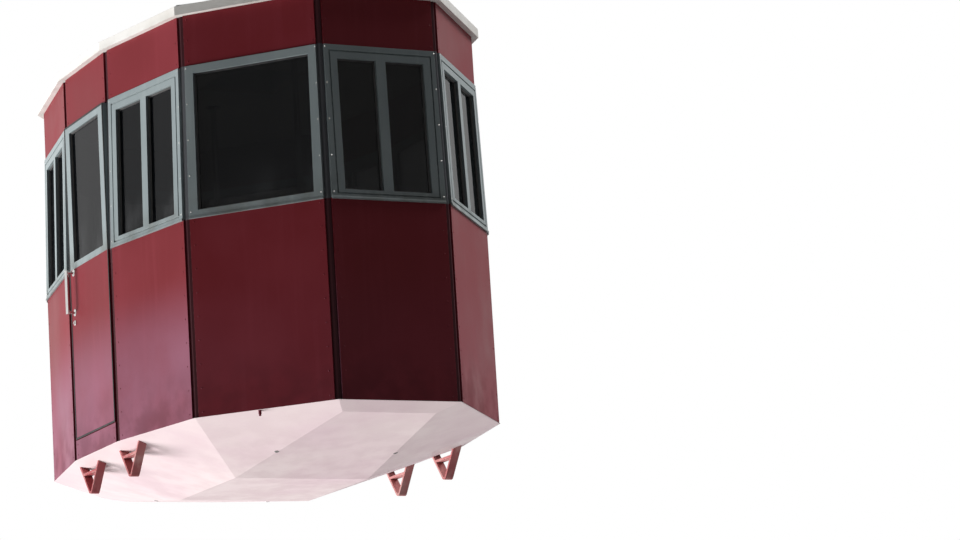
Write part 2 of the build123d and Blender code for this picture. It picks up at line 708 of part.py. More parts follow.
# Cross bars between the hanger legs
with BuildPart() as hanger_bars:
    for height in BAR_HEIGHTS:
        z = level(ROOF_TOP) + height
        if z > KNEE_Z:
            share = (z - KNEE_Z) / (HEAD_FOOT_Z + LEG_RADIUS - KNEE_Z)
            bar_y = HANGER_Y
            bar_x = KNEE_X + share * (LEG_HEAD_X - KNEE_X)
        else:
            share = (z - BEAM_TOP_Z + LEG_RADIUS) / (KNEE_Z - BEAM_TOP_Z + LEG_RADIUS)
            bar_y = share * HANGER_Y
            bar_x = FOOT_X + share * (KNEE_X - FOOT_X)
        with BuildSketch(Plane(origin=(-bar_x, bar_y, z), z_dir=(1, 0, 0))):
            Circle(RUNG_RADIUS)
        extrude(amount=2 * bar_x)
    for end in (-1, 1):
        head, knee, foot = leg_points(end)
        for stop in (head, foot):
            with BuildSketch(Plane(origin=knee, z_dir=stop - knee)):
                Circle(LEG_RADIUS)
            extrude(amount=(stop - knee).length, mode=Mode.SUBTRACT)
hanger_bars.part.label = "hanger_bars"
export_step(hanger_bars.part, "parts/hanger_bars.step")

# Carriage: wheels running on the rope, two to a rocker
AXLE_Z = ROPE_RADIUS + TREAD_RADIUS
PIVOT_Z = AXLE_Z + ROCKER_PIVOT_RISE
ROCKER_INNER_Y = WHEEL_WIDTH / 2 + ROCKER_SIDE_GAP
ROCKER_OUTER_Y = ROCKER_INNER_Y + ROCKER_PLATE
FRAME_INNER_Y = ROCKER_OUTER_Y + FRAME_SIDE_GAP
FRAME_OUTER_Y = FRAME_INNER_Y + FRAME_PLATE
BORE_RADIUS = AXLE_RADIUS + RUNNING_GAP

Bogie = namedtuple("Bogie", "name x")
BOGIES = [Bogie(name="near", x=-ROCKER_X), Bogie(name="far", x=ROCKER_X)]
Wheel = namedtuple("Wheel", "name x")
WHEELS = [
    Wheel(name="wheel_a", x=-ROCKER_X - ROCKER_HALF_BASE),
    Wheel(name="wheel_b", x=-ROCKER_X + ROCKER_HALF_BASE),
    Wheel(name="wheel_c", x=ROCKER_X - ROCKER_HALF_BASE),
    Wheel(name="wheel_d", x=ROCKER_X + ROCKER_HALF_BASE),
]

# Half section of a wheel as radius and width: hub, web, then the rim with its flanges and liner seat
WHEEL_SIDE = [
    (BORE_RADIUS, WHEEL_WIDTH / 2),
    (HUB_RADIUS, WHEEL_WIDTH / 2),
    (HUB_ROOT_RADIUS, WEB_HALF),
    (WEB_OUTER_RADIUS, WEB_HALF),
    (RIM_INNER_RADIUS, RIM_HALF_WIDTH),
    (FLANGE_RADIUS, FLANGE_LIP_Y + FLANGE_EDGE),
    (FLANGE_RADIUS, FLANGE_LIP_Y),
    (LINER_RADIUS, LINER_HALF_WIDTH),
    (LINER_SEAT_RADIUS, LINER_HALF_WIDTH),
]
WHEEL_SECTION = WHEEL_SIDE + [(radius, -width) for radius, width in reversed(WHEEL_SIDE)]
WEB_HOLE_RING = (HUB_ROOT_RADIUS + WEB_OUTER_RADIUS) / 2

for wheel in WHEELS:
    profile_plane = Plane(origin=(wheel.x, 0, AXLE_Z), x_dir=(1, 0, 0), z_dir=(0, 0, 1))
    axle = Axis((wheel.x, 0, AXLE_Z), (0, 1, 0))
    with BuildPart() as grooved_wheel:
        with BuildSketch(profile_plane):
            Polygon(*WHEEL_SECTION, align=None)
        revolve(axis=axle)
        with BuildSketch(Plane(origin=(wheel.x, 0, AXLE_Z), x_dir=(1, 0, 0), z_dir=(0, -1, 0))):
            with PolarLocations(WEB_HOLE_RING, WEB_HOLE_COUNT):
                Circle(WEB_HOLE_RADIUS)
        extrude(amount=WHEEL_WIDTH, both=True, mode=Mode.SUBTRACT)
    grooved_wheel.part.label = wheel.name
    export_step(grooved_wheel.part, f"parts/{wheel.name}.step")

    with BuildPart() as liner:
        with BuildSketch(profile_plane):
            Polygon(
                (LINER_SEAT_RADIUS + LINER_FIT, -LINER_HALF_WIDTH),
                (LINER_RADIUS, -LINER_HALF_WIDTH),
                (LINER_RADIUS, -LINER_LIP_Y),
                (TREAD_RADIUS, -TREAD_HALF_WIDTH),
                (TREAD_RADIUS, TREAD_HALF_WIDTH),
                (LINER_RADIUS, LINER_LIP_Y),
                (LINER_RADIUS, LINER_HALF_WIDTH),
                (LINER_SEAT_RADIUS + LINER_FIT, LINER_HALF_WIDTH),
                align=None,
            )
        revolve(axis=axle)
    liner.part.label = f"{wheel.name}_liner"
    export_step(liner.part, f"parts/{wheel.name}_liner.step")

for bogie in BOGIES:
    axle_places = [(bogie.x - ROCKER_HALF_BASE, AXLE_Z), (bogie.x + ROCKER_HALF_BASE, AXLE_Z)]
    with BuildPart() as rocker:
        for side in (-1, 1):
            with BuildSketch(Plane.XZ.offset(-side * ROCKER_INNER_Y)):
                with Locations(*axle_places):
                    Circle(ROCKER_END_RADIUS)
                with Locations((bogie.x, PIVOT_Z)):
                    Circle(ROCKER_END_RADIUS)
                make_hull()
            extrude(amount=-side * ROCKER_PLATE)
        with BuildSketch(Plane.XZ.offset(-ROCKER_OUTER_Y)):
            with Locations((bogie.x, PIVOT_Z)):
                Circle(SLEEVE_RADIUS)
        extrude(amount=2 * ROCKER_OUTER_Y)
        with BuildSketch(Plane.XZ.offset(-ROCKER_OUTER_Y)):
            with Locations(*axle_places):
                Circle(AXLE_RADIUS)
        extrude(amount=2 * ROCKER_OUTER_Y)
        with BuildSketch(Plane.XZ.offset(-ROCKER_OUTER_Y)):
            with Locations((bogie.x, PIVOT_Z)):
                Circle(PIVOT_RADIUS + RUNNING_GAP)
        extrude(amount=2 * ROCKER_OUTER_Y, mode=Mode.SUBTRACT)
    rocker.part.label = f"rocker_{bogie.name}"
    export_step(rocker.part, f"parts/rocker_{bogie.name}.step")

# Carriage frame: two cheek plates with lightening holes, the rocker pins and a spacer
PIVOT_PLACES = [(-ROCKER_X, PIVOT_Z), (ROCKER_X, PIVOT_Z)]
CREST_Z = PIVOT_Z + FRAME_CREST_RISE
with BuildPart() as carriage_frame:
    for side in (-1, 1):
        with BuildSketch(Plane.XZ.offset(-side * FRAME_INNER_Y)):
            with Locations(*PIVOT_PLACES):
                Circle(FRAME_END_RADIUS)
            with Locations((-FRAME_CREST_X, CREST_Z), (FRAME_CREST_X, CREST_Z)):
                Circle(FRAME_END_RADIUS)
            with Locations((0, PIN_Z)):
                Circle(FRAME_PIN_RADIUS)
            make_hull()
            with Locations((0, PIN_Z)):
                Circle(PIN_RADIUS, mode=Mode.SUBTRACT)
            with Locations((-CHEEK_HOLE_X, CHEEK_HOLE_Z), (CHEEK_HOLE_X, CHEEK_HOLE_Z)):
                Circle(CHEEK_HOLE_RADIUS, mode=Mode.SUBTRACT)
        extrude(amount=-side * FRAME_PLATE)
    with BuildSketch(Plane.XZ.offset(-FRAME_OUTER_Y)):
        with Locations(*PIVOT_PLACES):
            Circle(PIVOT_RADIUS)
        with Locations((0, SPACER_Z)):
            Circle(SPACER_RADIUS)
    extrude(amount=2 * FRAME_OUTER_Y)
carriage_frame.part.label = "carriage_frame"
export_step(carriage_frame.part, "parts/carriage_frame.step")

# Pin through the frame that carries the hanger, with a collar outside the head
HEAD_OUTER_Y = HANGER_Y - HEAD_LENGTH / 2
with BuildPart() as hanger_pin:
    with BuildSketch(Plane.XZ.offset(-FRAME_OUTER_Y - PIN_COLLAR)):
        with Locations((0, PIN_Z)):
            Circle(PIN_RADIUS)
    extrude(amount=FRAME_OUTER_Y + PIN_COLLAR - HEAD_OUTER_Y + PIN_END_GAP)
    with BuildSketch(Plane.XZ.offset(-HEAD_OUTER_Y + PIN_END_GAP)):
        with Locations((0, PIN_Z)):
            Circle(PIN_COLLAR_RADIUS)
    extrude(amount=PIN_COLLAR)
    with BuildSketch(Plane.XZ.offset(-FRAME_OUTER_Y)):
        with Locations((0, PIN_Z)):
            Circle(PIN_COLLAR_RADIUS)
    extrude(amount=-PIN_COLLAR)
hanger_pin.part.label = "hanger_pin"
export_step(hanger_pin.part, "parts/hanger_pin.step")

# Tapered sockets for the haul ropes, on arms beside the frame
SOCKET_ROOT_X = SOCKET_X - SOCKET_LENGTH / 2
with BuildPart() as haul_sockets:
    for end in (-1, 1):
        with BuildSketch(Plane.XZ.offset(FRAME_OUTER_Y)):
            with Locations((end * ROCKER_X, PIVOT_Z)):
                Circle(FRAME_END_RADIUS)
            with Locations((end * SOCKET_ROOT_X, SOCKET_Z)):
                Circle(SOCKET_RADIUS)
            make_hull()
        extrude(amount=ARM_PLATE)
        socket_plane = Plane(origin=(end * SOCKET_ROOT_X, SOCKET_Y, SOCKET_Z), x_dir=(end, 0, 0),
                             z_dir=(0, 0, 1))
        with BuildSketch(socket_plane):
            Polygon(
                (0, 0),
                (0, SOCKET_RADIUS),
                (SOCKET_BODY_LENGTH, SOCKET_RADIUS),
                (SOCKET_NECK_START, SOCKET_NECK_RADIUS),
                (SOCKET_LENGTH, SOCKET_NECK_RADIUS),
                (SOCKET_LENGTH, 0),
                align=None,
            )
        revolve(axis=Axis((0, SOCKET_Y, SOCKET_Z), (1, 0, 0)))
        with BuildSketch(Plane.YZ.offset(end * (SOCKET_ROOT_X + SOCKET_FLOOR))):
            with Locations((SOCKET_Y, SOCKET_Z)):
                Circle(SOCKET_BORE)
        extrude(amount=end * SOCKET_LENGTH, mode=Mode.SUBTRACT)
haul_sockets.part.label = "haul_sockets"
export_step(haul_sockets.part, "parts/haul_sockets.step")

# Grab poles from floor to ceiling
with BuildPart() as grab_poles:
    with BuildSketch(Plane.XY.offset(level(FLOOR_TOP_HEIGHT))):
        with Locations((-POLE_X, 0), (POLE_X, 0)):
            Circle(POLE_RADIUS)
    extrude(amount=EAVES_HEIGHT - CEILING_THICKNESS - FLOOR_TOP_HEIGHT)
grab_poles.part.label = "grab_poles"
export_step(grab_poles.part, "parts/grab_poles.step")

# Guard bars inside the windows, each on two flat straps
with BuildPart() as guard_bars:
    for face in WINDOW_FACES:
        height = SILL_HEIGHT + GUARD_RISE
        half = face_length(face.start) / 2 - GUARD_END
        wall = face_plane(face.start, height, lean_at(height) + WALL_THICKNESS)
        bar = Plane(origin=wall.origin - wall.z_dir * GUARD_SETBACK - wall.x_dir * half, z_dir=wall.x_dir)
        with BuildSketch(bar):
            Circle(GUARD_RADIUS)
        extrude(amount=2 * half)
        with BuildSketch(wall.offset(-GUARD_SETBACK)):
            with Locations((-half + GUARD_RADIUS, 0), (half - GUARD_RADIUS, 0)):
                Rectangle(GUARD_STRAP, GUARD_STRAP_HEIGHT)
        extrude(amount=GUARD_SETBACK - GUARD_FIT)
guard_bars.part.label = "guard_bars"
export_step(guard_bars.part, "parts/guard_bars.step")

# Doors in the two long sides, opening inwards
LEAF_HALF = DOOR_FACE_HALF - STRIP_HALF_WIDTH - DOOR_GAP
LEAF_FOOT = DOOR_FOOT_HEIGHT + DOOR_GAP
LEAF_TOP = WINDOW_TOP_HEIGHT - DOOR_GAP
LEAF_MIDDLE_Y = HALF_WIDTH - DOOR_THICKNESS / 2
GLASS_HALF = LEAF_HALF - DOOR_STILE
GLASS_FOOT = SILL_HEIGHT + SINGLE_FOOT_RAIL
GLASS_TOP = LEAF_TOP - SINGLE_TOP_RAIL
HINGE_Y = HALF_WIDTH - DOOR_THICKNESS - HINGE_SETBACK
HANDLE_HEIGHT = SILL_HEIGHT - HANDLE_DROP
Door = namedtuple("Door", "name side")
DOORS = [Door(name="left", side=1), Door(name="right", side=-1)]
Hinge = namedtuple("Hinge", "height piece")
HINGES = [
    Hinge(height=LEAF_FOOT + HINGE_FOOT_INSET, piece="panel"),
    Hinge(height=SILL_HEIGHT - HINGE_SILL_DROP, piece="panel"),
    Hinge(height=LEAF_TOP - HINGE_TOP_INSET, piece="sash"),
]
LeafPiece = namedtuple("LeafPiece", "name foot top glazed")
LEAF_PIECES = [
    LeafPiece(name="panel", foot=LEAF_FOOT, top=SILL_HEIGHT, glazed=False),
    LeafPiece(name="sash", foot=SILL_HEIGHT, top=LEAF_TOP, glazed=True),
]
for door in DOORS:
    hinge_place = (-door.side * LEAF_HALF, door.side * HINGE_Y)
    strap_place = (-door.side * (LEAF_HALF - HINGE_STRAP / 2), door.side * (HINGE_Y + HINGE_SETBACK / 2))
    for piece in LEAF_PIECES:
        with BuildPart() as leaf:
            with BuildSketch(Plane.XY.offset(level(piece.foot))):
                with Locations((0, door.side * LEAF_MIDDLE_Y)):
                    Rectangle(2 * LEAF_HALF, DOOR_THICKNESS)
            extrude(amount=piece.top - piece.foot)
            if piece.glazed:
                with BuildSketch(Plane.XZ.offset(-door.side * LEAF_MIDDLE_Y)):
                    with Locations((0, level((GLASS_FOOT + GLASS_TOP) / 2))):
                        Rectangle(2 * GLASS_HALF, GLASS_TOP - GLASS_FOOT)
                extrude(amount=DOOR_THICKNESS, both=True, mode=Mode.SUBTRACT)
            for hinge in HINGES:
                if hinge.piece == piece.name:
                    with BuildSketch(Plane.XY.offset(level(hinge.height - KNUCKLE_LENGTH / 2))):
                        with Locations(hinge_place):
                            Circle(KNUCKLE_RADIUS)
                        with Locations(strap_place):
                            Rectangle(HINGE_STRAP, HINGE_SETBACK)
                        with Locations(hinge_place):
                            Circle(HINGE_PIN_RADIUS + RUNNING_GAP, mode=Mode.SUBTRACT)
                    extrude(amount=KNUCKLE_LENGTH)
        leaf.part.label = f"door_{door.name}_{piece.name}"
        export_step(leaf.part, f"parts/door_{door.name}_{piece.name}.step")

    with BuildPart() as door_pane:
        with BuildSketch(Plane.XY.offset(level(GLASS_FOOT))):
            with Locations((0, door.side * (HALF_WIDTH - PANE_DEPTH - PANE_THICKNESS / 2))):
                Rectangle(2 * GLASS_HALF, PANE_THICKNESS)
        extrude(amount=GLASS_TOP - GLASS_FOOT)
    door_pane.part.label = f"door_{door.name}_pane"
    export_step(door_pane.part, f"parts/door_{door.name}_pane.step")

    with BuildPart() as door_handle:
        grip_x = door.side * (LEAF_HALF - HANDLE_INSET)
        grip_y = door.side * (HALF_WIDTH + HANDLE_STANDOFF)
        with BuildSketch(Plane.XY.offset(level(HANDLE_HEIGHT - HANDLE_LENGTH / 2))):
            with Locations((grip_x, grip_y)):
                Circle(HANDLE_RADIUS)
        extrude(amount=HANDLE_LENGTH)
        for end in (-1, 1):
            height = HANDLE_HEIGHT + end * (HANDLE_LENGTH / 2 - HANDLE_RADIUS)
            with BuildSketch(Plane.XZ.offset(-door.side * HALF_WIDTH)):
                with Locations((grip_x, level(height))):
                    Circle(HANDLE_STEM_RADIUS)
            extrude(amount=-door.side * HANDLE_STANDOFF)
    door_handle.part.label = f"door_{door.name}_handle"
    export_step(door_handle.part, f"parts/door_{door.name}_handle.step")

# Hinge pins of the doors, on eyes fixed to the door posts
EYE_REACH = KNUCKLE_LENGTH / 2 + EYE_GAP
with BuildPart() as door_hinge_pins:
    for door in DOORS:
        axis_x = -door.side * LEAF_HALF
        axis_y = door.side * HINGE_Y
        seat_x = -door.side * (LEAF_HALF + EYE_POST_REACH / 2)
        for hinge in HINGES:
            for foot in (hinge.height + EYE_REACH, hinge.height - EYE_REACH - EYE_LENGTH):
                depth = HALF_WIDTH - lean_at(foot + EYE_LENGTH) - WALL_THICKNESS - EYE_FIT - HINGE_Y
                with BuildSketch(Plane.XY.offset(level(foot))):
                    with Locations((axis_x, axis_y)):
                        Circle(KNUCKLE_RADIUS)
                    with Locations((seat_x, axis_y + door.side * (depth - KNUCKLE_RADIUS) / 2)):
                        Rectangle(EYE_POST_REACH, depth + KNUCKLE_RADIUS)
                extrude(amount=EYE_LENGTH)
            with BuildSketch(Plane.XY.offset(level(hinge.height - EYE_REACH))):
                with Locations((axis_x, axis_y)):
                    Circle(HINGE_PIN_RADIUS)
            extrude(amount=2 * EYE_REACH)
door_hinge_pins.part.label = "door_hinge_pins"
export_step(door_hinge_pins.part, "parts/door_hinge_pins.step")
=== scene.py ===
"""Aerial tramway cabin with its hanger and carriage: finishes, small fittings, studio and camera."""

import json
import logging
import math
from dataclasses import dataclass, field, replace
from enum import Enum
from typing import Any, Iterable, Sequence

import bmesh
import bpy
from mathutils import Matrix, Vector
from mathutils.bvhtree import BVHTree


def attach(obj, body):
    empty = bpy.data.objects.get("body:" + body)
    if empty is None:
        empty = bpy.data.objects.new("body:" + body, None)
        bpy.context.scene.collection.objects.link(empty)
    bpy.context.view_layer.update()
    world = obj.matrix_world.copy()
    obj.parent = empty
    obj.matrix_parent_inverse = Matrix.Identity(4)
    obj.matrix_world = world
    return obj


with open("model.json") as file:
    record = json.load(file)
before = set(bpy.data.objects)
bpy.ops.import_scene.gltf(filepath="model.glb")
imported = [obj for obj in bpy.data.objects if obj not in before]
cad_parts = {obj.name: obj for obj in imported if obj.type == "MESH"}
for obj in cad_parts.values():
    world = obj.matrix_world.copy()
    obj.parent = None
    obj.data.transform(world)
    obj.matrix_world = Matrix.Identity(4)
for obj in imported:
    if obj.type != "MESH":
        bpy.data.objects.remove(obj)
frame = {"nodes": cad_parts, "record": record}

LOG = logging.getLogger("tramway_cabin")
SHARP_ANGLE = math.radians(35.0)

# Heights of the walls in metres: their lower edge in the part's frame, and sill and window top above it
WALL_FOOT_Z = -5.150
SILL_HEIGHT = 1.120
WINDOW_TOP_HEIGHT = 1.990

# Directions, both ends or sides as signs, and the corners of a square as signs
UP = Vector((0, 0, 1))
DOWN = Vector((0, 0, -1))
LEFT = Vector((0, 1, 0))
RIGHT = Vector((0, -1, 0))
BOTH = (-1, 1)
SQUARE = ((-1, -1), (1, -1), (1, 1), (-1, 1))

Colour = tuple[float, float, float, float]
Pair = tuple[float, float]
Triple = tuple[float, float, float]


class Slot(Enum):
    """Material slots of the record."""

    WALL_RED = "wall_red"
    STRIP_DARK = "strip_dark"
    FRAME_SILVER = "frame_silver"
    PANE = "pane"
    PAN_WHITE = "pan_white"
    RIM_WHITE = "rim_white"
    ROOF_GREY = "roof_grey"
    CEILING_PALE = "ceiling_pale"
    FLOOR_WOOD = "floor_wood"
    FOOT_RED = "foot_red"
    HANGER_GREY = "hanger_grey"
    CARRIAGE_GREY = "carriage_grey"
    STEEL = "steel"
    WHEEL_IRON = "wheel_iron"
    LINER_RUBBER = "liner_rubber"
    RAIL_CHROME = "rail_chrome"


class Body(Enum):
    """Bodies of the moving model."""

    CARRIAGE = "carriage"
    ROCKER_NEAR = "rocker_near"
    ROCKER_FAR = "rocker_far"
    WHEEL_A = "wheel_a"
    WHEEL_B = "wheel_b"
    WHEEL_C = "wheel_c"
    WHEEL_D = "wheel_d"
    CABIN = "cabin"
    HATCH = "hatch"
    DOOR_LEFT = "door_left"
    DOOR_RIGHT = "door_right"


class WindowKind(Enum):
    """How a wall face is glazed."""

    SINGLE = "single"
    DOUBLE = "double"
    DOOR = "door"


def ink(red: int, green: int, blue: int) -> Colour:
    """Gives the scene-linear colour of a display colour.

    Args:
        red: Red from 0 to 255.
        green: Green from 0 to 255.
        blue: Blue from 0 to 255.

    Returns:
        The linear colour with full opacity.
    """

    def straight(value: int) -> float:
        """Undoes the display curve of one channel."""
        share = value / 255
        return share / 12.92 if share <= 0.04045 else ((share + 0.055) / 1.055) ** 2.4

    return straight(red), straight(green), straight(blue), 1.0


class Tree:
    """Node tree of a material or of the surround, with short calls that add and join its nodes."""

    def __init__(self, owner: Any) -> None:
        """Starts an empty tree.

        Args:
            owner: New material or world that holds the tree.
        """
        owner.use_nodes = True
        self.tree = owner.node_tree
        self.tree.nodes.clear()

    def add(self, kind: str, sockets: dict[Any, Any] | None = None, **settings: Any) -> bpy.types.Node:
        """Adds a node.

        Args:
            kind: Blender's name of the node type.
            sockets: Values or output sockets by input name or number.
            **settings: Properties of the node itself.

        Returns:
            The new node.
        """
        node = self.tree.nodes.new(kind)
        for key, value in settings.items():
            setattr(node, key, value)
        for key, value in (sockets or {}).items():
            if isinstance(value, bpy.types.NodeSocket):
                self.tree.links.new(value, node.inputs[key])
            else:
                node.inputs[key].default_value = value
        return node

    def calc(self, way: str, first: Any, second: Any = 0.0) -> bpy.types.NodeSocket:
        """Joins two values by a math operation such as ADD or MULTIPLY."""
        return self.add("ShaderNodeMath", {0: first, 1: second}, operation=way).outputs[0]

    def times(self, first: Any, second: Any) -> bpy.types.NodeSocket:
        """Multiplies two values."""
        return self.calc("MULTIPLY", first, second)

    def seen(self) -> bpy.types.NodeSocket:
        """Marks what meets the eye directly, in gloss or through glass.

        Returns:
            1 for camera, glossy and transmission rays, and 0 for the rest.
        """
        path = self.add("ShaderNodeLightPath")
        either = self.calc("MAXIMUM", path.outputs["Is Camera Ray"], path.outputs["Is Glossy Ray"])
        return self.calc("MAXIMUM", either, path.outputs["Is Transmission Ray"])


class Bench(Tree):
    """Node tree of one finish, with the patterns that the finishes are made of."""

    def __init__(self, name: str) -> None:
        """Starts the tree of a new material.

        Args:
            name: Name of the material.
        """
        self.material = bpy.data.materials.new(name)
        super().__init__(self.material)
        here = self.add("ShaderNodeTexCoord")
        self.place = here.outputs["Object"]
        self.normal = here.outputs["Normal"]

    def noise(self, scale: float, detail: float = 3.0, stretch: Triple = (1, 1, 1)) -> bpy.types.NodeSocket:
        """Gives soft noise in the part's frame.

        Args:
            scale: Features per metre.
            detail: Number of finer layers.
            stretch: Scale along each axis, small values draw the features out.

        Returns:
            Noise from 0 to 1.
        """
        place = self.add("ShaderNodeMapping", {"Vector": self.place, "Scale": stretch})
        node = self.add("ShaderNodeTexNoise", {"Vector": place.outputs[0], "Scale": scale, "Detail": detail})
        return node.outputs[0]

    def cells(self, scale: float) -> bpy.types.NodeSocket:
        """Gives the distance to the nearest of scattered points, scale to the metre."""
        node = self.add("ShaderNodeTexVoronoi", {"Vector": self.place, "Scale": scale})
        return node.outputs["Distance"]

    def along(self, axis: str) -> bpy.types.NodeSocket:
        """Gives one coordinate of the part's frame, in metres."""
        return self.add("ShaderNodeSeparateXYZ", {0: self.place}).outputs[axis]

    def facing(self, axis: str) -> bpy.types.NodeSocket:
        """Gives how squarely the surface faces along an axis of the part's frame, either way."""
        parts = self.add("ShaderNodeSeparateXYZ", {0: self.normal})
        return self.calc("ABSOLUTE", parts.outputs[axis])

    def band(self, value: Any, low: float, high: float, first: float = 0.0,
             last: float = 1.0) -> bpy.types.NodeSocket:
        """Maps a value smoothly from one range to another, with its ends held.

        Args:
            value: Socket to map.
            low: Value that gives first.
            high: Value that gives last.
            first: Result at low.
            last: Result at high.

        Returns:
            The mapped value.
        """
        sockets = {"Value": value, "From Min": low, "From Max": high, "To Min": first, "To Max": last}
        node = self.add("ShaderNodeMapRange", sockets, interpolation_type="SMOOTHSTEP")
        return node.outputs["Result"]

    def blend(self, share: Any, first: Any, second: Any) -> bpy.types.NodeSocket:
        """Mixes two colours by a share from 0 to 1, whose sockets on the node are numbers 6 and 7."""
        return self.add("ShaderNodeMix", {0: share, 6: first, 7: second}, data_type="RGBA").outputs[2]

    def edges(self, radius: float) -> bpy.types.NodeSocket:
        """Marks the outer edges and inner corners of a solid.

        Args:
            radius: Reach of the mark from an edge, in metres.

        Returns:
            About 0 on flats, rising to 1 at edges.
        """
        soft = self.add("ShaderNodeBevel", {"Radius": radius}, samples=4)
        flat = self.add("ShaderNodeNewGeometry")
        sockets = {0: soft.outputs[0], 1: flat.outputs["Normal"]}
        dot = self.add("ShaderNodeVectorMath", sockets, operation="DOT_PRODUCT")
        return self.band(dot.outputs["Value"], 0.995, 0.80)

    def relief(self, height: Any, distance: float, strength: float = 1.0,
               below: Any = None) -> bpy.types.NodeSocket:
        """Turns a height into a shading normal.

        Args:
            height: Height from 0 to 1.
            distance: Depth in metres of a height of 1.
            strength: Share of the effect.
            below: Normal that this one is laid over.

        Returns:
            The normal.
        """
        sockets = {"Height": height, "Distance": distance, "Strength": strength}
        if below is not None:
            sockets["Normal"] = below
        return self.add("ShaderNodeBump", sockets).outputs[0]

    def rounded(self, radius: float) -> bpy.types.NodeSocket:
        """Gives a normal that rounds sharp edges over a radius in metres."""
        return self.add("ShaderNodeBevel", {"Radius": radius}, samples=4).outputs[0]

    def close(self, sockets: dict[str, Any]) -> bpy.types.Material:
        """Ends the tree with the surface shader.

        Args:
            sockets: Values or output sockets by the shader's input names.

        Returns:
            The finished material.
        """
        shader = self.add("ShaderNodeBsdfPrincipled", sockets)
        self.add("ShaderNodeOutputMaterial", {"Surface": shader.outputs[0]})
        return self.material


@dataclass(frozen=True)
class Paint:
    """Sprayed paint on sheet metal or steel, faded, soiled and worn with use.

    The walls' red carries a painted pale sheen of reflected light at the foot of the long sides. The corner
    strips
    carry painted shade: a darker red, and grey between the windows, as in the shadow of a recess. On the
    feet the pale edges are partly a painted highlight. Heights are in the part's frame.
    """

    name: str
    colour: Colour
    faded: Colour
    soil: Colour
    bare_and_highlight: Colour
    roughness: float = 0.42
    coat: float = 0.25
    ripple: float = 0.0012
    ripple_scale: float = 2.2
    grain: float = 0.00004
    streaks: float = 0.35
    wear_and_highlight: float = 0.5
    edge_reach: float = 0.004
    # Dirt from below: the heights where it is full and where it ends, and its share
    soil_low: float = -5.15
    soil_high: float = -4.75
    soil_share: float = 0.35
    # Painted pale sheen of reflected light at the foot of the long sides
    painted_sheen: Colour = ink(168, 128, 154)
    painted_sheen_share: float = 0.0
    painted_sheen_low: float = -4.82
    painted_sheen_high: float = -4.30
    # Painted shade grey between the windows, as in the shadow of the recessed corner strips
    shade_grey: Colour = ink(104, 106, 110)
    shade_grey_share: float = 0.0
    shade_grey_foot: float = WALL_FOOT_Z + SILL_HEIGHT
    shade_grey_top: float = WALL_FOOT_Z + WINDOW_TOP_HEIGHT
    shade_grey_fade: float = 0.01

    def with_painted_sheen(self, bench: Bench, base: Any) -> bpy.types.NodeSocket:
        """Lays a painted sheen of reflected light over the foot of the long sides, fainter on the other
        faces.

        Args:
            bench: Tree of the finish.
            base: Colour below the painted sheen.

        Returns:
            The colour with the painted sheen.
        """
        foot = bench.band(bench.along("Z"), self.painted_sheen_high, self.painted_sheen_low, 0.0, self.painted_sheen_share)
        side = bench.times(foot, bench.band(bench.facing("Y"), 0.74, 0.96, 0.10))
        sheen_mask = bench.times(side, bench.band(bench.noise(2.6, 4), 0.25, 0.60, 0.70, 1.0))
        return bench.blend(sheen_mask, base, self.painted_sheen)

    def with_shade_grey(self, bench: Bench, base: Any) -> bpy.types.NodeSocket:
        """Lays the window band's painted shade grey over the paint, from the sill to the window top.

        Args:
            bench: Tree of the finish.
            base: Colour below the painted shade grey.

        Returns:
            The colour with the grey.
        """
        height = bench.along("Z")
        foot = bench.band(height, self.shade_grey_foot - self.shade_grey_fade, self.shade_grey_foot, 0.0, self.shade_grey_share)
        top = bench.band(height, self.shade_grey_top + self.shade_grey_fade, self.shade_grey_top)
        return bench.blend(bench.times(foot, top), base, self.shade_grey)

    def material(self) -> bpy.types.Material:
        """Builds the paint's material.

        Returns:
            The material.
        """
        bench = Bench(self.name)
        # Broad patches, runs down the sheet and fine specks
        clouds = bench.noise(1.7, 5)
        runs = bench.noise(5.0, 6, (3.2, 3.2, 0.22))
        fine = bench.noise(90.0, 4)
        aged = bench.blend(bench.band(clouds, 0.35, 0.72, 0.0, 0.55), self.colour, self.faded)
        streak = bench.times(bench.band(runs, 0.50, 0.74), self.streaks)
        aged = bench.blend(streak, aged, self.faded)
        # Painted pale sheen of reflected light at the foot of the long sides
        if self.painted_sheen_share:
            aged = self.with_painted_sheen(bench, aged)
        # Painted shade grey between the windows
        if self.shade_grey_share:
            aged = self.with_shade_grey(bench, aged)
        # Dirt, specks and chips rubbed bare at the edges, which on the feet are also a painted highlight
        low = bench.band(bench.along("Z"), self.soil_high, self.soil_low)
        splash = bench.times(low, bench.band(bench.noise(7.0, 7), 0.34, 0.66))
        dirt = bench.times(splash, self.soil_share)
        aged = bench.blend(dirt, aged, self.soil)
        speck = bench.times(bench.band(fine, 0.62, 0.80), 0.22)
        aged = bench.blend(speck, aged, self.soil)
        chips = bench.band(bench.noise(38.0, 5), 0.50, 0.62)
        rubbed_and_highlit = bench.times(bench.edges(self.edge_reach), chips)
        aged = bench.blend(bench.times(rubbed_and_highlit, self.wear_and_highlight), aged, self.bare_and_highlight)
        # Gloss, waves of the sheet and grain of the spray
        dull = bench.band(clouds, 0.3, 0.7, self.roughness - 0.07, self.roughness + 0.10)
        dull = bench.calc("ADD", dull, bench.times(dirt, 0.5))
        normal = bench.relief(bench.noise(self.ripple_scale, 1), self.ripple, 1.0, bench.rounded(0.0025))
        normal = bench.relief(bench.noise(260.0, 2), self.grain, 1.0, normal)
        return bench.close({
            "Base Color": aged, "Roughness": dull, "Normal": normal,
            "Coat Weight": self.coat, "Coat Roughness": 0.22, "Specular IOR Level": 0.07,
        })


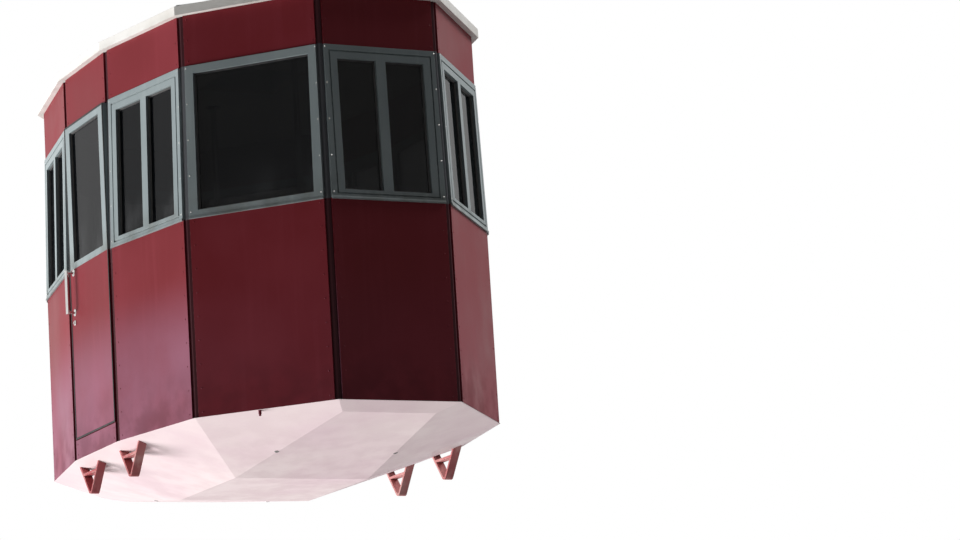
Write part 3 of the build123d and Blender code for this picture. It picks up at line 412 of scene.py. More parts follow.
@dataclass(frozen=True)
class SatinMetal:
    """Drawn, machined or cast metal with its surface marks."""

    name: str
    colour: Colour
    tarnish: Colour
    metallic: float = 0.9
    roughness: float = 0.34
    lines: Triple = (1.0, 1.0, 0.06)
    line_scale: float = 160.0
    line_depth: float = 0.00005
    pits: float = 0.0
    pit_scale: float = 220.0
    tarnish_share: float = 0.5

    def material(self) -> bpy.types.Material:
        """Builds the metal's material.

        Returns:
            The material.
        """
        bench = Bench(self.name)
        drawn = bench.noise(self.line_scale, 3, self.lines)
        patches = bench.noise(6.0, 6)
        stain = bench.times(bench.band(patches, 0.42, 0.70), self.tarnish_share)
        colour = bench.blend(stain, self.colour, self.tarnish)
        colour = bench.blend(bench.band(drawn, 0.40, 0.75, 0.0, 0.35), colour, self.tarnish)
        grime = bench.times(bench.edges(0.006), bench.band(bench.noise(24.0, 4), 0.4, 0.7))
        colour = bench.blend(bench.times(grime, 0.45), colour, self.tarnish)
        rough = bench.band(patches, 0.3, 0.75, self.roughness - 0.06, self.roughness + 0.14)
        normal = bench.relief(drawn, self.line_depth, 1.0, bench.rounded(0.0015))
        if self.pits:
            normal = bench.relief(bench.cells(self.pit_scale), self.pits, 1.0, normal)
        return bench.close({
            "Base Color": colour, "Roughness": rough, "Normal": normal, "Metallic": self.metallic,
        })


@dataclass(frozen=True)
class WindowGlass:
    """Safety glass with a thin film of dust towards the sill, near black as painted shade of the dark
    interior.
    """

    name: str
    shade_tint: Colour
    dust: Colour
    sill_z: float = WALL_FOOT_Z + SILL_HEIGHT
    film_rise: float = 0.31
    # High opacity of the clean glass, painted shade of the dark interior behind it
    clear: float = 0.76
    filmed: float = 0.95

    def material(self) -> bpy.types.Material:
        """Builds the glass's material.

        Returns:
            The material.
        """
        bench = Bench(self.name)
        smear = bench.noise(9.0, 6, (1.0, 1.0, 0.45))
        low = bench.band(bench.along("Z"), self.sill_z + self.film_rise, self.sill_z)
        spots = bench.band(bench.cells(60.0), 0.30, 0.05)
        film = bench.times(low, bench.band(smear, 0.38, 0.72))
        film = bench.calc("ADD", bench.times(film, 0.16), bench.times(spots, 0.03))
        colour = bench.blend(film, self.shade_tint, self.dust)
        opacity = bench.band(film, 0.0, 0.5, self.clear, self.filmed)
        rough = bench.band(film, 0.0, 0.5, 0.03, 0.35)
        normal = bench.relief(bench.noise(1.3, 1), 0.0015)
        return bench.close({
            "Base Color": colour, "Roughness": rough, "Alpha": opacity, "Normal": normal,
            "Specular IOR Level": 0.10,
        })


@dataclass(frozen=True)
class Rubber:
    """Moulded rubber, dusty in its pores."""

    name: str
    colour: Colour
    dust: Colour
    roughness: float = 0.72

    def material(self) -> bpy.types.Material:
        """Builds the rubber's material.

        Returns:
            The material.
        """
        bench = Bench(self.name)
        pores = bench.noise(420.0, 3)
        dusty = bench.band(bench.noise(14.0, 6), 0.42, 0.70, 0.0, 0.45)
        colour = bench.blend(dusty, self.colour, self.dust)
        rough = bench.band(pores, 0.3, 0.7, self.roughness - 0.10, self.roughness + 0.12)
        normal = bench.relief(pores, 0.00008, 1.0, bench.rounded(0.002))
        return bench.close({
            "Base Color": colour, "Roughness": rough, "Normal": normal, "Specular IOR Level": 0.3,
        })


@dataclass(frozen=True)
class FloorBoards:
    """Varnished boards laid along the cabin."""

    name: str
    light: Colour
    dark: Colour
    joint: Colour
    board: float = 0.11

    def material(self) -> bpy.types.Material:
        """Builds the boards' material.

        Returns:
            The material.
        """
        bench = Bench(self.name)
        across = bench.calc("DIVIDE", bench.along("Y"), self.board)
        step = bench.calc("FLOOR", across)
        tone = bench.add("ShaderNodeTexWhiteNoise", {"W": step}, noise_dimensions="1D").outputs["Value"]
        grain = bench.noise(70.0, 6, (0.05, 1.0, 1.0))
        share = bench.calc("ADD", bench.times(tone, 0.45),
                          bench.times(bench.band(grain, 0.3, 0.75), 0.55))
        colour = bench.blend(share, self.light, self.dark)
        part = bench.calc("FRACT", across)
        edge = bench.calc("ADD", bench.band(part, 0.03, 0.0), bench.band(part, 0.97, 1.0))
        colour = bench.blend(edge, colour, self.joint)
        rough = bench.band(bench.noise(3.0, 4), 0.3, 0.7, 0.38, 0.66)
        normal = bench.relief(edge, -0.0015, 1.0)
        normal = bench.relief(grain, 0.0002, 1.0, normal)
        return bench.close({"Base Color": colour, "Roughness": rough, "Normal": normal})


# Red of the walls, with a painted pale sheen of reflected light at the foot of the long sides
RED_PAINT = Paint(
    "deep_red_paint", ink(118, 35, 42), ink(134, 51, 60), ink(70, 30, 35), ink(172, 124, 124),
    roughness=0.45, coat=0.02, ripple=0.004, ripple_scale=1.6, streaks=0.30, wear_and_highlight=0.55, painted_sheen_share=0.40,
)
# Corner strips: dark red, and grey between the windows, both painted shade of a recessed corner
SHADED_STRIP_PAINT = Paint(
    "corner_strip_painted_shade", ink(62, 24, 30), ink(74, 38, 43), ink(32, 18, 21), ink(92, 60, 62),
    roughness=0.55, coat=0.05, ripple=0.0008, wear_and_highlight=0.35, shade_grey_share=0.95,
)
SILVER_PAINT = Paint(
    "silver_frame_paint", ink(137, 148, 150), ink(158, 168, 169), ink(96, 96, 88), ink(206, 210, 206),
    roughness=0.38, coat=0.15, ripple=0.0006, streaks=0.45, wear_and_highlight=0.45, soil_low=-4.05, soil_high=-3.85,
    soil_share=0.5,
)
PAN_PAINT = Paint(
    "white_pan_paint", ink(238, 220, 220), ink(227, 199, 208), ink(186, 156, 162), ink(150, 128, 120),
    roughness=0.50, coat=0.10, ripple=0.0040, ripple_scale=1.9, streaks=0.15, wear_and_highlight=0.35,
    soil_low=-5.40, soil_high=-5.05, soil_share=0.22,
)
RIM_PAINT = Paint(
    "white_rim_paint", ink(240, 238, 234), ink(226, 222, 214), ink(150, 142, 134), ink(140, 128, 118),
    roughness=0.45, coat=0.15, streaks=0.35, wear_and_highlight=0.3, soil_low=-2.90, soil_high=-2.80,
)
ROOF_PAINT = Paint(
    "grey_roof_paint", ink(188, 190, 190), ink(206, 206, 202), ink(120, 118, 110), ink(140, 130, 120),
    roughness=0.55, coat=0.0, ripple=0.0040, streaks=0.2, soil_low=-2.84, soil_high=-2.70, soil_share=0.24,
)
CEILING_PAINT = Paint(
    "cream_ceiling_paint", ink(206, 200, 186), ink(192, 184, 166), ink(150, 140, 122), ink(170, 160, 146),
    roughness=0.6, coat=0.0, streaks=0.1, wear_and_highlight=0.2, soil_share=0.0,
)
# Red of the feet, pale in patches and at the edges: partly faded and worn paint, partly painted highlight of
# lit faces and edges
FOOT_PAINT = Paint(
    "faded_red_foot_paint_painted_highlights", ink(172, 84, 88), ink(214, 174, 168), ink(84, 44, 46), ink(226, 210, 198),
    roughness=0.5, coat=0.05, ripple=0.0004, streaks=0.5, wear_and_highlight=0.95, edge_reach=0.007,
    soil_low=-5.38, soil_high=-5.20,
)
HANGER_PAINT = Paint(
    "grey_hanger_paint", ink(112, 116, 120), ink(134, 137, 138), ink(66, 60, 52), ink(120, 84, 62),
    roughness=0.48, coat=0.1, ripple=0.0004, wear_and_highlight=0.75, edge_reach=0.006, soil_low=-2.62, soil_high=-2.2,
)
CARRIAGE_PAINT = Paint(
    "dark_carriage_paint", ink(84, 90, 94), ink(104, 108, 108), ink(40, 36, 30), ink(132, 112, 92),
    roughness=0.46, coat=0.15, ripple=0.0004, wear_and_highlight=0.85, edge_reach=0.006, soil_low=0.02, soil_high=0.26,
    soil_share=0.6,
)
BARE_STEEL = SatinMetal("bare_steel", ink(196, 196, 194), ink(128, 118, 104), roughness=0.32)
CAST_IRON = SatinMetal(
    "machined_cast_iron", ink(132, 130, 128), ink(70, 60, 52), metallic=0.80, roughness=0.50,
    lines=(1.0, 1.0, 1.0), line_scale=60.0, pits=0.00025, pit_scale=420.0,
)
CHROME = SatinMetal(
    "polished_rail_metal", ink(216, 216, 214), ink(168, 164, 158), metallic=1.0, roughness=0.14,
    line_depth=0.00001, tarnish_share=0.25,
)
# Near-black window glass: painted shade of the dark interior
GLASS = WindowGlass("window_glass", ink(10, 12, 15), ink(140, 142, 144))
LINER = Rubber("wheel_liner_rubber", ink(34, 33, 33), ink(92, 86, 78))
SEAL = Rubber("window_seal_rubber", ink(24, 23, 24), ink(72, 70, 68))
BOARDS = FloorBoards("floor_boards", ink(150, 112, 76), ink(96, 66, 42), ink(36, 26, 20))

FINISHES: dict[Slot, Any] = {
    Slot.WALL_RED: RED_PAINT,
    Slot.STRIP_DARK: SHADED_STRIP_PAINT,
    Slot.FRAME_SILVER: SILVER_PAINT,
    Slot.PANE: GLASS,
    Slot.PAN_WHITE: PAN_PAINT,
    Slot.RIM_WHITE: RIM_PAINT,
    Slot.ROOF_GREY: ROOF_PAINT,
    Slot.CEILING_PALE: CEILING_PAINT,
    Slot.FLOOR_WOOD: BOARDS,
    Slot.FOOT_RED: FOOT_PAINT,
    Slot.HANGER_GREY: HANGER_PAINT,
    Slot.CARRIAGE_GREY: CARRIAGE_PAINT,
    Slot.STEEL: BARE_STEEL,
    Slot.WHEEL_IRON: CAST_IRON,
    Slot.LINER_RUBBER: LINER,
    Slot.RAIL_CHROME: CHROME,
}


class PaintShop:
    """Holds each finish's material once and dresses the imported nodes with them."""

    def __init__(self) -> None:
        """Starts with no material made."""
        self.made: dict[str, bpy.types.Material] = {}

    def material(self, finish: Any) -> bpy.types.Material:
        """Gives the material of a finish, made at its first use.

        Args:
            finish: One of the finishes.

        Returns:
            Its material.
        """
        if finish.name not in self.made:
            self.made[finish.name] = finish.material()
        return self.made[finish.name]

    def dress(self, node: str, slot: Slot) -> None:
        """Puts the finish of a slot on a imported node.

        Args:
            node: Name of the node.
            slot: Material slot of the record.
        """
        thing = frame["nodes"][node]
        material = self.material(FINISHES[slot])
        if not thing.material_slots:
            thing.data.materials.append(material)
        for holder in thing.material_slots:
            holder.material = material
        LOG.info("dressed %s with %s", node, material.name)


def upright(point: Vector, axis: Vector) -> Matrix:
    """Gives the placing that stands a form's Z axis along a direction.

    Args:
        point: Origin of the form.
        axis: Direction of its Z axis.

    Returns:
        The placing.
    """
    turn = axis.normalized().to_track_quat("Z", "Y").to_matrix().to_4x4()
    return Matrix.Translation(point) @ turn


def scaled(profile: Sequence[Pair], size: float) -> list[Pair]:
    """Gives a profile that is drawn for a size of 1 at its real size."""
    return [(radius * size, height * size) for radius, height in profile]


def circle(radius: float, count: int, turn: float = 0.0) -> list[Pair]:
    """Gives evenly spaced points of a circle about the origin.

    Args:
        radius: Radius of the circle.
        count: Number of points.
        turn: Angle of the first point in radians.

    Returns:
        The points.
    """
    angles = [2 * math.pi * step / count + turn for step in range(count)]
    return [(radius * math.cos(angle), radius * math.sin(angle)) for angle in angles]


def spaced(start: float, stop: float, pitch: float) -> list[float]:
    """Gives evenly spaced places from start to stop, about a pitch apart.

    Args:
        start: First place.
        stop: Last place.
        pitch: Distance that is aimed at.

    Returns:
        The places, with both ends.
    """
    steps = max(1, round((stop - start) / pitch))
    return [start + (stop - start) * step / steps for step in range(steps + 1)]


def sides_of(outline: Sequence[Vector]) -> list[tuple[Vector, Vector]]:
    """Gives each side of a closed outline as its start and stop."""
    return list(zip(outline, [*outline[1:], outline[0]]))


def leftward(run: Vector) -> Vector:
    """Gives the direction in plan a quarter turn to the left of another."""
    return Vector((-run.y, run.x, 0))


class Surface:
    """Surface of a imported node, for seating small pieces on it."""

    def __init__(self, node: str) -> None:
        """Reads the node's mesh.

        Args:
            node: Name of the node.
        """
        mesh = frame["nodes"][node].data
        points = [vertex.co.copy() for vertex in mesh.vertices]
        faces = [tuple(polygon.vertices) for polygon in mesh.polygons]
        self.tree = BVHTree.FromPolygons(points, faces)

    def seat(self, start: Vector, toward: Vector) -> tuple[Vector, Vector] | None:
        """Finds where a straight line first meets the node.

        Args:
            start: Start of the line.
            toward: Direction of the line.

        Returns:
            The point and the normal that faces the start, or None where it misses.
        """
        point, normal, _, _ = self.tree.ray_cast(start, toward)
        if point is None:
            return None
        return point, normal if normal.dot(toward) < 0 else -normal


def rounded_path(points: Sequence[Vector], radius: float, steps: int) -> list[Vector]:
    """Gives a polyline whose inner corners are turned into arcs.

    Args:
        points: Corners of the path.
        radius: Distance from a corner at which its arc starts and ends.
        steps: Number of steps in an arc.

    Returns:
        Points of the rounded path.
    """
    path = [points[0]]
    for before, corner, after in zip(points, points[1:], points[2:]):
        start = corner + (before - corner).normalized() * radius
        stop = corner + (after - corner).normalized() * radius
        for step in range(steps + 1):
            share = step / steps
            path.append(start.lerp(corner, share).lerp(corner.lerp(stop, share), share))
    path.append(points[-1])
    return path


class Fastener(Enum):
    """Fasteners, as the sides and the profile of each turned layer for a radius of 1."""

    RIVET = ((10, ((1.0, -0.2), (1.0, 0.12), (0.78, 0.42), (0.40, 0.60), (0, 0.66))),)
    SCREW = ((12, ((1.0, -0.2), (1.0, 0.10), (0.62, 0.34), (0.40, 0.36), (0.34, 0.05), (0, 0.05))),)
    BOLT = (
        (20, ((2.1, -0.05), (2.1, 0.28), (1.9, 0.36), (0, 0.36))),
        (6, ((1.85, 0.36), (1.85, 1.45), (1.6, 1.65), (0, 1.65))),
        (12, ((1.0, 1.5), (1.0, 2.05), (0.8, 2.25), (0, 2.25))),
    )
    NUT = (
        (28, ((1.8, 0), (1.8, 0.16), (0, 0.16))),
        (6, ((1.55, 0.16), (1.55, 0.72), (1.38, 0.86), (0, 0.86))),
        (20, ((0.86, 0.8), (0.86, 1.12), (0.74, 1.2), (0, 1.2))),
    )


# The split pin of a nut for a radius of 1: its profile, its height on the nut and where it starts
SPLIT_PIN = ((0, 0), (0.10, 0.02), (0.10, 2.3), (0, 2.36))
SPLIT_PIN_HEIGHT = 0.99
SPLIT_PIN_START = 1.18


class Shape:
    """Mesh of one added piece, built up from turned forms, fasteners, bars and closed bands."""

    def __init__(self) -> None:
        """Starts an empty mesh."""
        self.mesh = bmesh.new()

    def row(self, points: Iterable[Vector]) -> list[bmesh.types.BMVert]:
        """Adds a row of vertices."""
        return [self.mesh.verts.new(point) for point in points]

    def wrap(self, here: Sequence[Any], beyond: Sequence[Any]) -> None:
        """Joins two closed rows of vertices by faces.

        Args:
            here: First row.
            beyond: Next row. Either may be a single vertex, and otherwise they are of equal length.
        """
        count = max(len(here), len(beyond))
        for step in range(count):
            after = (step + 1) % count
            corners = [here[step % len(here)], here[after % len(here)],
                       beyond[after % len(beyond)], beyond[step % len(beyond)]]
            self.mesh.faces.new(list(dict.fromkeys(corners)))

    def band(self, loops: Sequence[Sequence[Vector]]) -> None:
        """Adds a closed band, whose section is followed by closed loops of equal length.

        Args:
            loops: Points of each loop, one loop for each point of the section.
        """
        rows = [self.row(loop) for loop in loops]
        for here, beyond in zip(rows, [*rows[1:], rows[0]]):
            self.wrap(here, beyond)

    def strip(self, sections: Sequence[Sequence[Vector]]) -> None:
        """Adds a bar through closed sections, closed at both ends.

        Args:
            sections: Points round each section, from the first end to the last. One point is a tip.
        """
        rows = [self.row(section) for section in sections]
        for here, beyond in zip(rows, rows[1:]):
            self.wrap(here, beyond)
        for end in (rows[0][::-1], rows[-1]):
            if len(end) > 1:
                self.mesh.faces.new(end)

    def turned(self, place: Matrix, profile: Sequence[Pair], sides: int) -> None:
        """Adds a closed form turned about its Z axis.

        Args:
            place: Placing of the form.
            profile: Radius and height pairs from the first end to the last.
            sides: Number of sides.
        """
        sections = []
        for radius, height in profile:
            spots = circle(radius, sides, math.pi / sides) if radius else [(0.0, 0.0)]
            sections.append([place @ Vector((x, y, height)) for x, y in spots])
        self.strip(sections)

    def ring(self, place: Matrix, section: Sequence[Pair], sides: int) -> None:
        """Adds a ring about its Z axis.

        Args:
            place: Placing of the ring.
            section: Radius and height pairs round the closed section.
            sides: Number of sides.
        """
        self.band([[place @ Vector((x, y, height)) for x, y in circle(radius, sides)]
                   for radius, height in section])

    def rod(self, path: Sequence[Vector], radius: float, sides: int) -> None:
        """Adds a round rod along a path.

        Args:
            path: Points of the rod's centre line.
            radius: Radius of the rod.
            sides: Number of sides.
        """
        sections = []
        across = (path[1] - path[0]).orthogonal().normalized()
        for number, point in enumerate(path):
            ahead = path[min(number + 1, len(path) - 1)] - path[max(number - 1, 0)]
            ahead.normalize()
            across = (across - ahead * across.dot(ahead)).normalized()
            up = ahead.cross(across)
            sections.append([point + across * x + up * y for x, y in circle(radius, sides)])
        self.strip(sections)

    def fasten(self, kind: Fastener, seat: Vector, axis: Vector, radius: float) -> None:
        """Adds a fastener, a nut with the split pin through its crown.

        Args:
            kind: Which fastener.
            seat: Middle of its seat.
            axis: Direction that it stands out in.
            radius: Radius of a rivet's or screw's head, or of a bolt's or nut's thread.
        """
        place = upright(seat, axis)
        for sides, profile in kind.value:
            self.turned(place, scaled(profile, radius), sides)
        if kind is Fastener.NUT:
            across = (place.to_3x3() @ Vector((1, 0, 0))).normalized()
            start = place @ Vector((0, 0, SPLIT_PIN_HEIGHT * radius)) - across * SPLIT_PIN_START * radius
            self.turned(upright(start, across), scaled(SPLIT_PIN, radius), sides=8)

    def piece(self, name: str, shop: PaintShop, body: Body, slot: Slot, finish: Any = None) -> None:
        """Ends the mesh as a piece of the object and reports it.

        Args:
            name: Name of the piece.
            shop: Shop that holds the materials.
            body: Body that it rides on.
            slot: Slot of the record that it takes its finish from.
            finish: Its own finish, where that isn't the slot's.
        """
        bmesh.ops.recalc_face_normals(self.mesh, faces=self.mesh.faces)
        data = bpy.data.meshes.new(name)
        self.mesh.to_mesh(data)
        self.mesh.free()
        data.materials.append(shop.material(finish or FINISHES[slot]))
        data.polygons.foreach_set("use_smooth", [True] * len(data.polygons))
        data.set_sharp_from_angle(angle=SHARP_ANGLE)
        thing = bpy.data.objects.new(name, data)
        bpy.context.scene.collection.objects.link(thing)
        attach(thing, body.value)
        LOG.info("built %s with %d faces on %s", name, len(data.polygons), body.value)


@dataclass(frozen=True)
class WallFace:
    """One upright face of the cabin's walls."""

    middle: Vector
    run: Vector
    outward: Vector
    length: float
    kind: WindowKind
    sill: float
    window_top: float
    lean: float
    bottom_z: float

    def lean_at(self, height: float) -> float:
        """Gives how far the wall has leaned inwards at a height above its lower edge."""
        share = (height - self.sill) / (self.window_top - self.sill)
        return self.lean * min(max(share, 0.0), 1.0)

    def point(self, shift: float, height: float, proud: float = 0.0) -> Vector:
        """Gives a point of the face.

        Args:
            shift: Place along the face from its middle.
            height: Height above the lower edge of the walls.
            proud: Distance out of the face.

        Returns:
            The point in the part's frame.
        """
        spot = self.middle + self.run * shift + self.outward * (proud - self.lean_at(height))
        return Vector((spot.x, spot.y, self.bottom_z + height))

    def frame_loop(self, half: float, foot: float, top: float, inset: float, proud: float,
                   shift: float = 0.0) -> list[Vector]:
        """Gives the corners of a rectangle on the face.

        Args:
            half: Half width of the rectangle.
            foot: Height of its lower edge.
            top: Height of its upper edge.
            inset: Distance that its edges are moved inwards.
            proud: Distance out of the face.
            shift: Place of its middle along the face.

        Returns:
            The corners, from the lower left round to the upper left.
        """
        left = shift - half + inset
        right = shift + half - inset
        low = foot + inset
        high = top - inset
        return [self.point(left, low, proud), self.point(right, low, proud),
                self.point(right, high, proud), self.point(left, high, proud)]


@dataclass(frozen=True)
class CabinPlan:
    """Sizes of the cabin's walls and windows, in metres."""

    end_half_width: float = 0.370
    shoulder_half_width: float = 0.940
    half_width: float = 1.090
    half_length: float = 1.790
    chamfer_run: float = 0.656
    door_face_half: float = 0.345
    bottom_z: float = WALL_FOOT_Z
    sill: float = SILL_HEIGHT
    window_top: float = WINDOW_TOP_HEIGHT
    eaves: float = 2.285
    floor_top: float = 0.100
    threshold: float = 0.112
    lean: float = 0.019
    strip_half: float = 0.024
    frame_proud: float = 0.006
    pane_depth: float = 0.018
    pane_thickness: float = 0.008
    single_stile: float = 0.056
    single_top_rail: float = 0.046
    single_foot_rail: float = 0.038
    double_stile: float = 0.082
    double_top_rail: float = 0.078
    double_foot_rail: float = 0.046
    mullion: float = 0.060
    door_gap: float = 0.005
    door_stile: float = 0.076

    def corners(self) -> list[Vector]:
        """Lays out the wall corners in plan.

        Returns:
            The twelve corners, clockwise from the near end's left corner.
        """
        shoulder = self.half_length - self.chamfer_run
        quarter = [(self.half_length, self.end_half_width), (shoulder, self.shoulder_half_width),
                   (self.door_face_half, self.half_width)]
        near_left = [(-x, y) for x, y in quarter]
        far_left = quarter[::-1]
        far_right = [(x, -y) for x, y in quarter]
        near_right = [(-x, -y) for x, y in far_left]
        return [Vector((x, y, 0)) for x, y in near_left + far_left + far_right + near_right]

    def faces(self) -> list[WallFace]:
        """Lays out the walls.

        Returns:
            The twelve wall faces, from the one left of the near end round to the near end.
        """
        kinds = 2 * [WindowKind.SINGLE, WindowKind.DOUBLE, WindowKind.DOOR,
                     WindowKind.DOUBLE, WindowKind.DOUBLE, WindowKind.DOUBLE]
        faces = []
        for kind, (start, stop) in zip(kinds, sides_of(self.corners())):
            run = (stop - start).normalized()
            faces.append(WallFace((start + stop) / 2, run, leftward(run), (stop - start).length, kind,
                                  self.sill, self.window_top, self.lean, self.bottom_z))
        return faces

    def door_face(self, side: int) -> WallFace:
        """Finds the face of a door, whose sash stands upright where the walls lean.

        Args:
            side: 1 for the left side and -1 for the right.

        Returns:
            The face with no lean.
        """
        found = [face for face in self.faces() if face.kind is WindowKind.DOOR and face.middle.y * side > 0]
        return replace(found[0], lean=0.0)

    def inset(self, distance: float) -> list[Vector]:
        """Moves every wall face inwards in plan.

        Args:
            distance: Distance that the faces move.

        Returns:
            The corners of the moved walls.
        """
        spots = self.corners()
        moved = []
        for number, here in enumerate(spots):
            before = (here - spots[number - 1]).normalized()
            after = (spots[(number + 1) % len(spots)] - here).normalized()
            first = -leftward(before)
            second = -leftward(after)
            moved.append(here + (first + second) * distance / (1 + first.dot(second)))
        return moved

    def level(self, height: float) -> float:
        """Gives the Z of a height above the lower edge of the walls."""
        return self.bottom_z + height

    def panes(self, face: WallFace) -> list[tuple[float, float, float, float]]:
        """Gives the panes of a face.

        Args:
            face: A wall face.

        Returns:
            Shift, half width, foot and top of each pane.
        """
        clear = face.length - 2 * self.strip_half
        if face.kind is WindowKind.SINGLE:
            half = clear / 2 - self.single_stile
            return [(0.0, half, self.sill + self.single_foot_rail, self.window_top - self.single_top_rail)]
        if face.kind is WindowKind.DOOR:
            half = self.door_face_half - self.strip_half - self.door_gap - self.door_stile
            top = self.window_top - self.door_gap - self.single_top_rail
            return [(0.0, half, self.sill + self.single_foot_rail, top)]
        width = (clear - 2 * self.double_stile - self.mullion) / 2
        shift = (width + self.mullion) / 2
        foot = self.sill + self.double_foot_rail
        top = self.window_top - self.double_top_rail
        return [(-shift, width / 2, foot, top), (shift, width / 2, foot, top)]


@dataclass
class Trim:
    """Small fittings of one sub-assembly, with the plan and the finishes that they share."""

    plan: CabinPlan
    shop: PaintShop


@dataclass
class WallTrim(Trim):
    """Rivets, sill strips and drain peg of the cabin's walls."""

    rivet_radius: float = 0.0040
    rivet_pitch: float = 0.128
    rivet_margin: float = 0.026
    sill_strip_height: float = 0.016
    sill_strip_proud: float = 0.011
    peg_shift: float = 0.046
    peg_setback: float = 0.014
    peg_radius: float = 0.009
    peg_length: float = 0.034
    peg_root: float = 0.010

    def rivet_rows(self) -> None:
        """Builds the rivets down both edges of each lower and upper panel."""
        plan = self.plan
        shape = Shape()
        for face in plan.faces():
            half = face.length / 2 - plan.strip_half - self.rivet_margin
            low_top = plan.threshold if face.kind is WindowKind.DOOR else plan.sill
            for foot, top in ((0.0, low_top), (plan.window_top, plan.eaves)):
                for height in spaced(foot + self.rivet_margin, top - self.rivet_margin, self.rivet_pitch):
                    for shift in (-half, half):
                        seat = face.point(shift, height)
                        shape.fasten(Fastener.RIVET, seat, face.outward, self.rivet_radius)
        shape.piece("wall_rivets", self.shop, Body.CABIN, Slot.WALL_RED)

    def sill_strips(self) -> None:
        """Builds the rounded drip strip under each window frame."""
        plan = self.plan
        low = plan.sill - self.sill_strip_height / 2
        high = plan.sill + self.sill_strip_height / 2
        section = [(0.0, low), (self.sill_strip_proud, low), (self.sill_strip_proud, plan.sill),
                   (plan.frame_proud, high), (0.0, high)]
        shape = Shape()
        for face in plan.faces():
            if face.kind is not WindowKind.DOOR:
                half = face.length / 2 - plan.strip_half
                shape.strip([[face.point(shift, height, proud) for proud, height in section]
                             for shift in (-half, half)])
        shape.piece("sill_drip_strips", self.shop, Body.CABIN, Slot.FRAME_SILVER)

    def drain_peg(self) -> None:
        """Builds the short peg that hangs from the lower edge beside the near end."""
        radius = self.peg_radius
        length = self.peg_length
        profile = [(radius, -self.peg_root), (radius, 0.6 * length), (0.8 * radius, 0.7 * length),
                   (0.8 * radius, 0.92 * length), (0.6 * radius, length), (0.0, length)]
        top = self.plan.faces()[0].point(self.peg_shift, 0.0, -self.peg_setback)
        shape = Shape()
        shape.turned(upright(top, DOWN), profile, sides=16)
        shape.piece("drain_peg", self.shop, Body.CABIN, Slot.WALL_RED)

    def build(self) -> None:
        """Builds all trim of the walls."""
        self.rivet_rows()
        self.sill_strips()
        self.drain_peg()


@dataclass
class Glazing(Trim):
    """Rubber seals round the panes and the screws of the window frames."""

    seal_width: float = 0.009
    seal_lip: float = 0.006
    seal_bevel: float = 0.004
    seal_flat: float = 0.002
    screw_radius: float = 0.0042
    screw_pitch: float = 0.21
    screw_inset: float = 0.012
    screw_foot: float = 0.030
    screw_head: float = 0.014

    def seals(self, faces: Iterable[WallFace], name: str, body: Body) -> None:
        """Builds the seals outside and inside of the panes.

        Args:
            faces: Wall faces whose panes are sealed.
            name: Name of the piece.
            body: Body that the panes ride on.
        """
        plan = self.plan
        shape = Shape()
        for face in faces:
            for shift, half, foot, top in plan.panes(face):
                for glass, step in ((-plan.pane_depth, 1), (-plan.pane_depth - plan.pane_thickness, -1)):
                    outer = glass + step * self.seal_width
                    mid = glass + step * self.seal_lip
                    section = [(0.0, glass), (self.seal_width, glass),
                               (self.seal_width, mid - step * self.seal_bevel),
                               (self.seal_lip, mid), (self.seal_flat, outer), (0.0, outer)]
                    shape.band([face.frame_loop(half, foot, top, inset, proud, shift)
                                for inset, proud in section])
        shape.piece(name, self.shop, body, Slot.LINER_RUBBER, SEAL)

    def screws(self) -> None:
        """Builds the screws down both stiles of each frame."""
        plan = self.plan
        heights = spaced(plan.sill + self.screw_foot, plan.window_top - self.screw_head, self.screw_pitch)
        shape = Shape()
        for face in plan.faces():
            if face.kind is not WindowKind.DOOR:
                half = face.length / 2 - plan.strip_half - self.screw_inset
                for height in heights:
                    for shift in (-half, half):
                        seat = face.point(shift, height, plan.frame_proud)
                        shape.fasten(Fastener.SCREW, seat, face.outward, self.screw_radius)
        shape.piece("frame_screws", self.shop, Body.CABIN, Slot.STEEL)

    def build(self) -> None:
        """Builds all seals and screws."""
        fixed = [face for face in self.plan.faces() if face.kind is not WindowKind.DOOR]
        self.seals(fixed, "window_seals", Body.CABIN)
        for body, side in ((Body.DOOR_LEFT, 1), (Body.DOOR_RIGHT, -1)):
            self.seals([self.plan.door_face(side)], f"{body.value}_seal", body)
        self.screws()


@dataclass
class DoorTrim(Trim):
    """Edge seal, handle roses and lock of one door leaf, whose profiles are radius and height pairs."""

    body: Body
    side: int
    leaf_half: float = 0.316
    leaf_foot: float = 0.117
    leaf_top: float = 1.985
    seal_width: float = 0.010
    seal_proud: float = 0.0025
    seal_root: float = 0.002
    grip_x: float = 0.256
    stem_heights: Pair = (0.861, 1.099)
    rose: Sequence[Pair] = ((0.021, -0.001), (0.021, 0.0018), (0.01785, 0.003), (0.0, 0.003))
    lock_height: float = 0.800
    lock: Sequence[Pair] = ((0.015, -0.001), (0.015, 0.004), (0.012, 0.006), (0.0093, 0.006),
                            (0.0087, 0.010), (0.0045, 0.011), (0.0036, 0.006), (0.0, 0.006))

    def edge_seal(self) -> None:
        """Builds the seal along the leaf's four edges."""
        width = self.seal_width
        proud = self.seal_proud
        section = [(0.0, -self.seal_root), (0.0, 0.6 * proud), (0.25 * width, proud),
                   (0.75 * width, proud), (width, 0.4 * proud), (width, -self.seal_root)]
        face = self.plan.door_face(self.side)
        shape = Shape()
        shape.band([face.frame_loop(self.leaf_half, self.leaf_foot, self.leaf_top, inset, out)
                    for inset, out in section])
        shape.piece(f"{self.body.value}_edge_seal", self.shop, self.body, Slot.LINER_RUBBER, SEAL)

    def fittings(self) -> None:
        """Builds the roses at the handle's stems and the lock under them."""
        shape = Shape()
        stem_x = self.side * self.grip_x
        face_y = self.side * self.plan.half_width
        roses = [(height, self.rose) for height in self.stem_heights]
        for height, profile in [*roses, (self.lock_height, self.lock)]:
            seat = Vector((stem_x, face_y, self.plan.level(height)))
            shape.turned(upright(seat, LEFT * self.side), profile, sides=28)
        shape.piece(f"{self.body.value}_fittings", self.shop, self.body, Slot.RAIL_CHROME)

    def build(self) -> None:
        """Builds the trim of the leaf."""
        self.edge_seal()
        self.fittings()


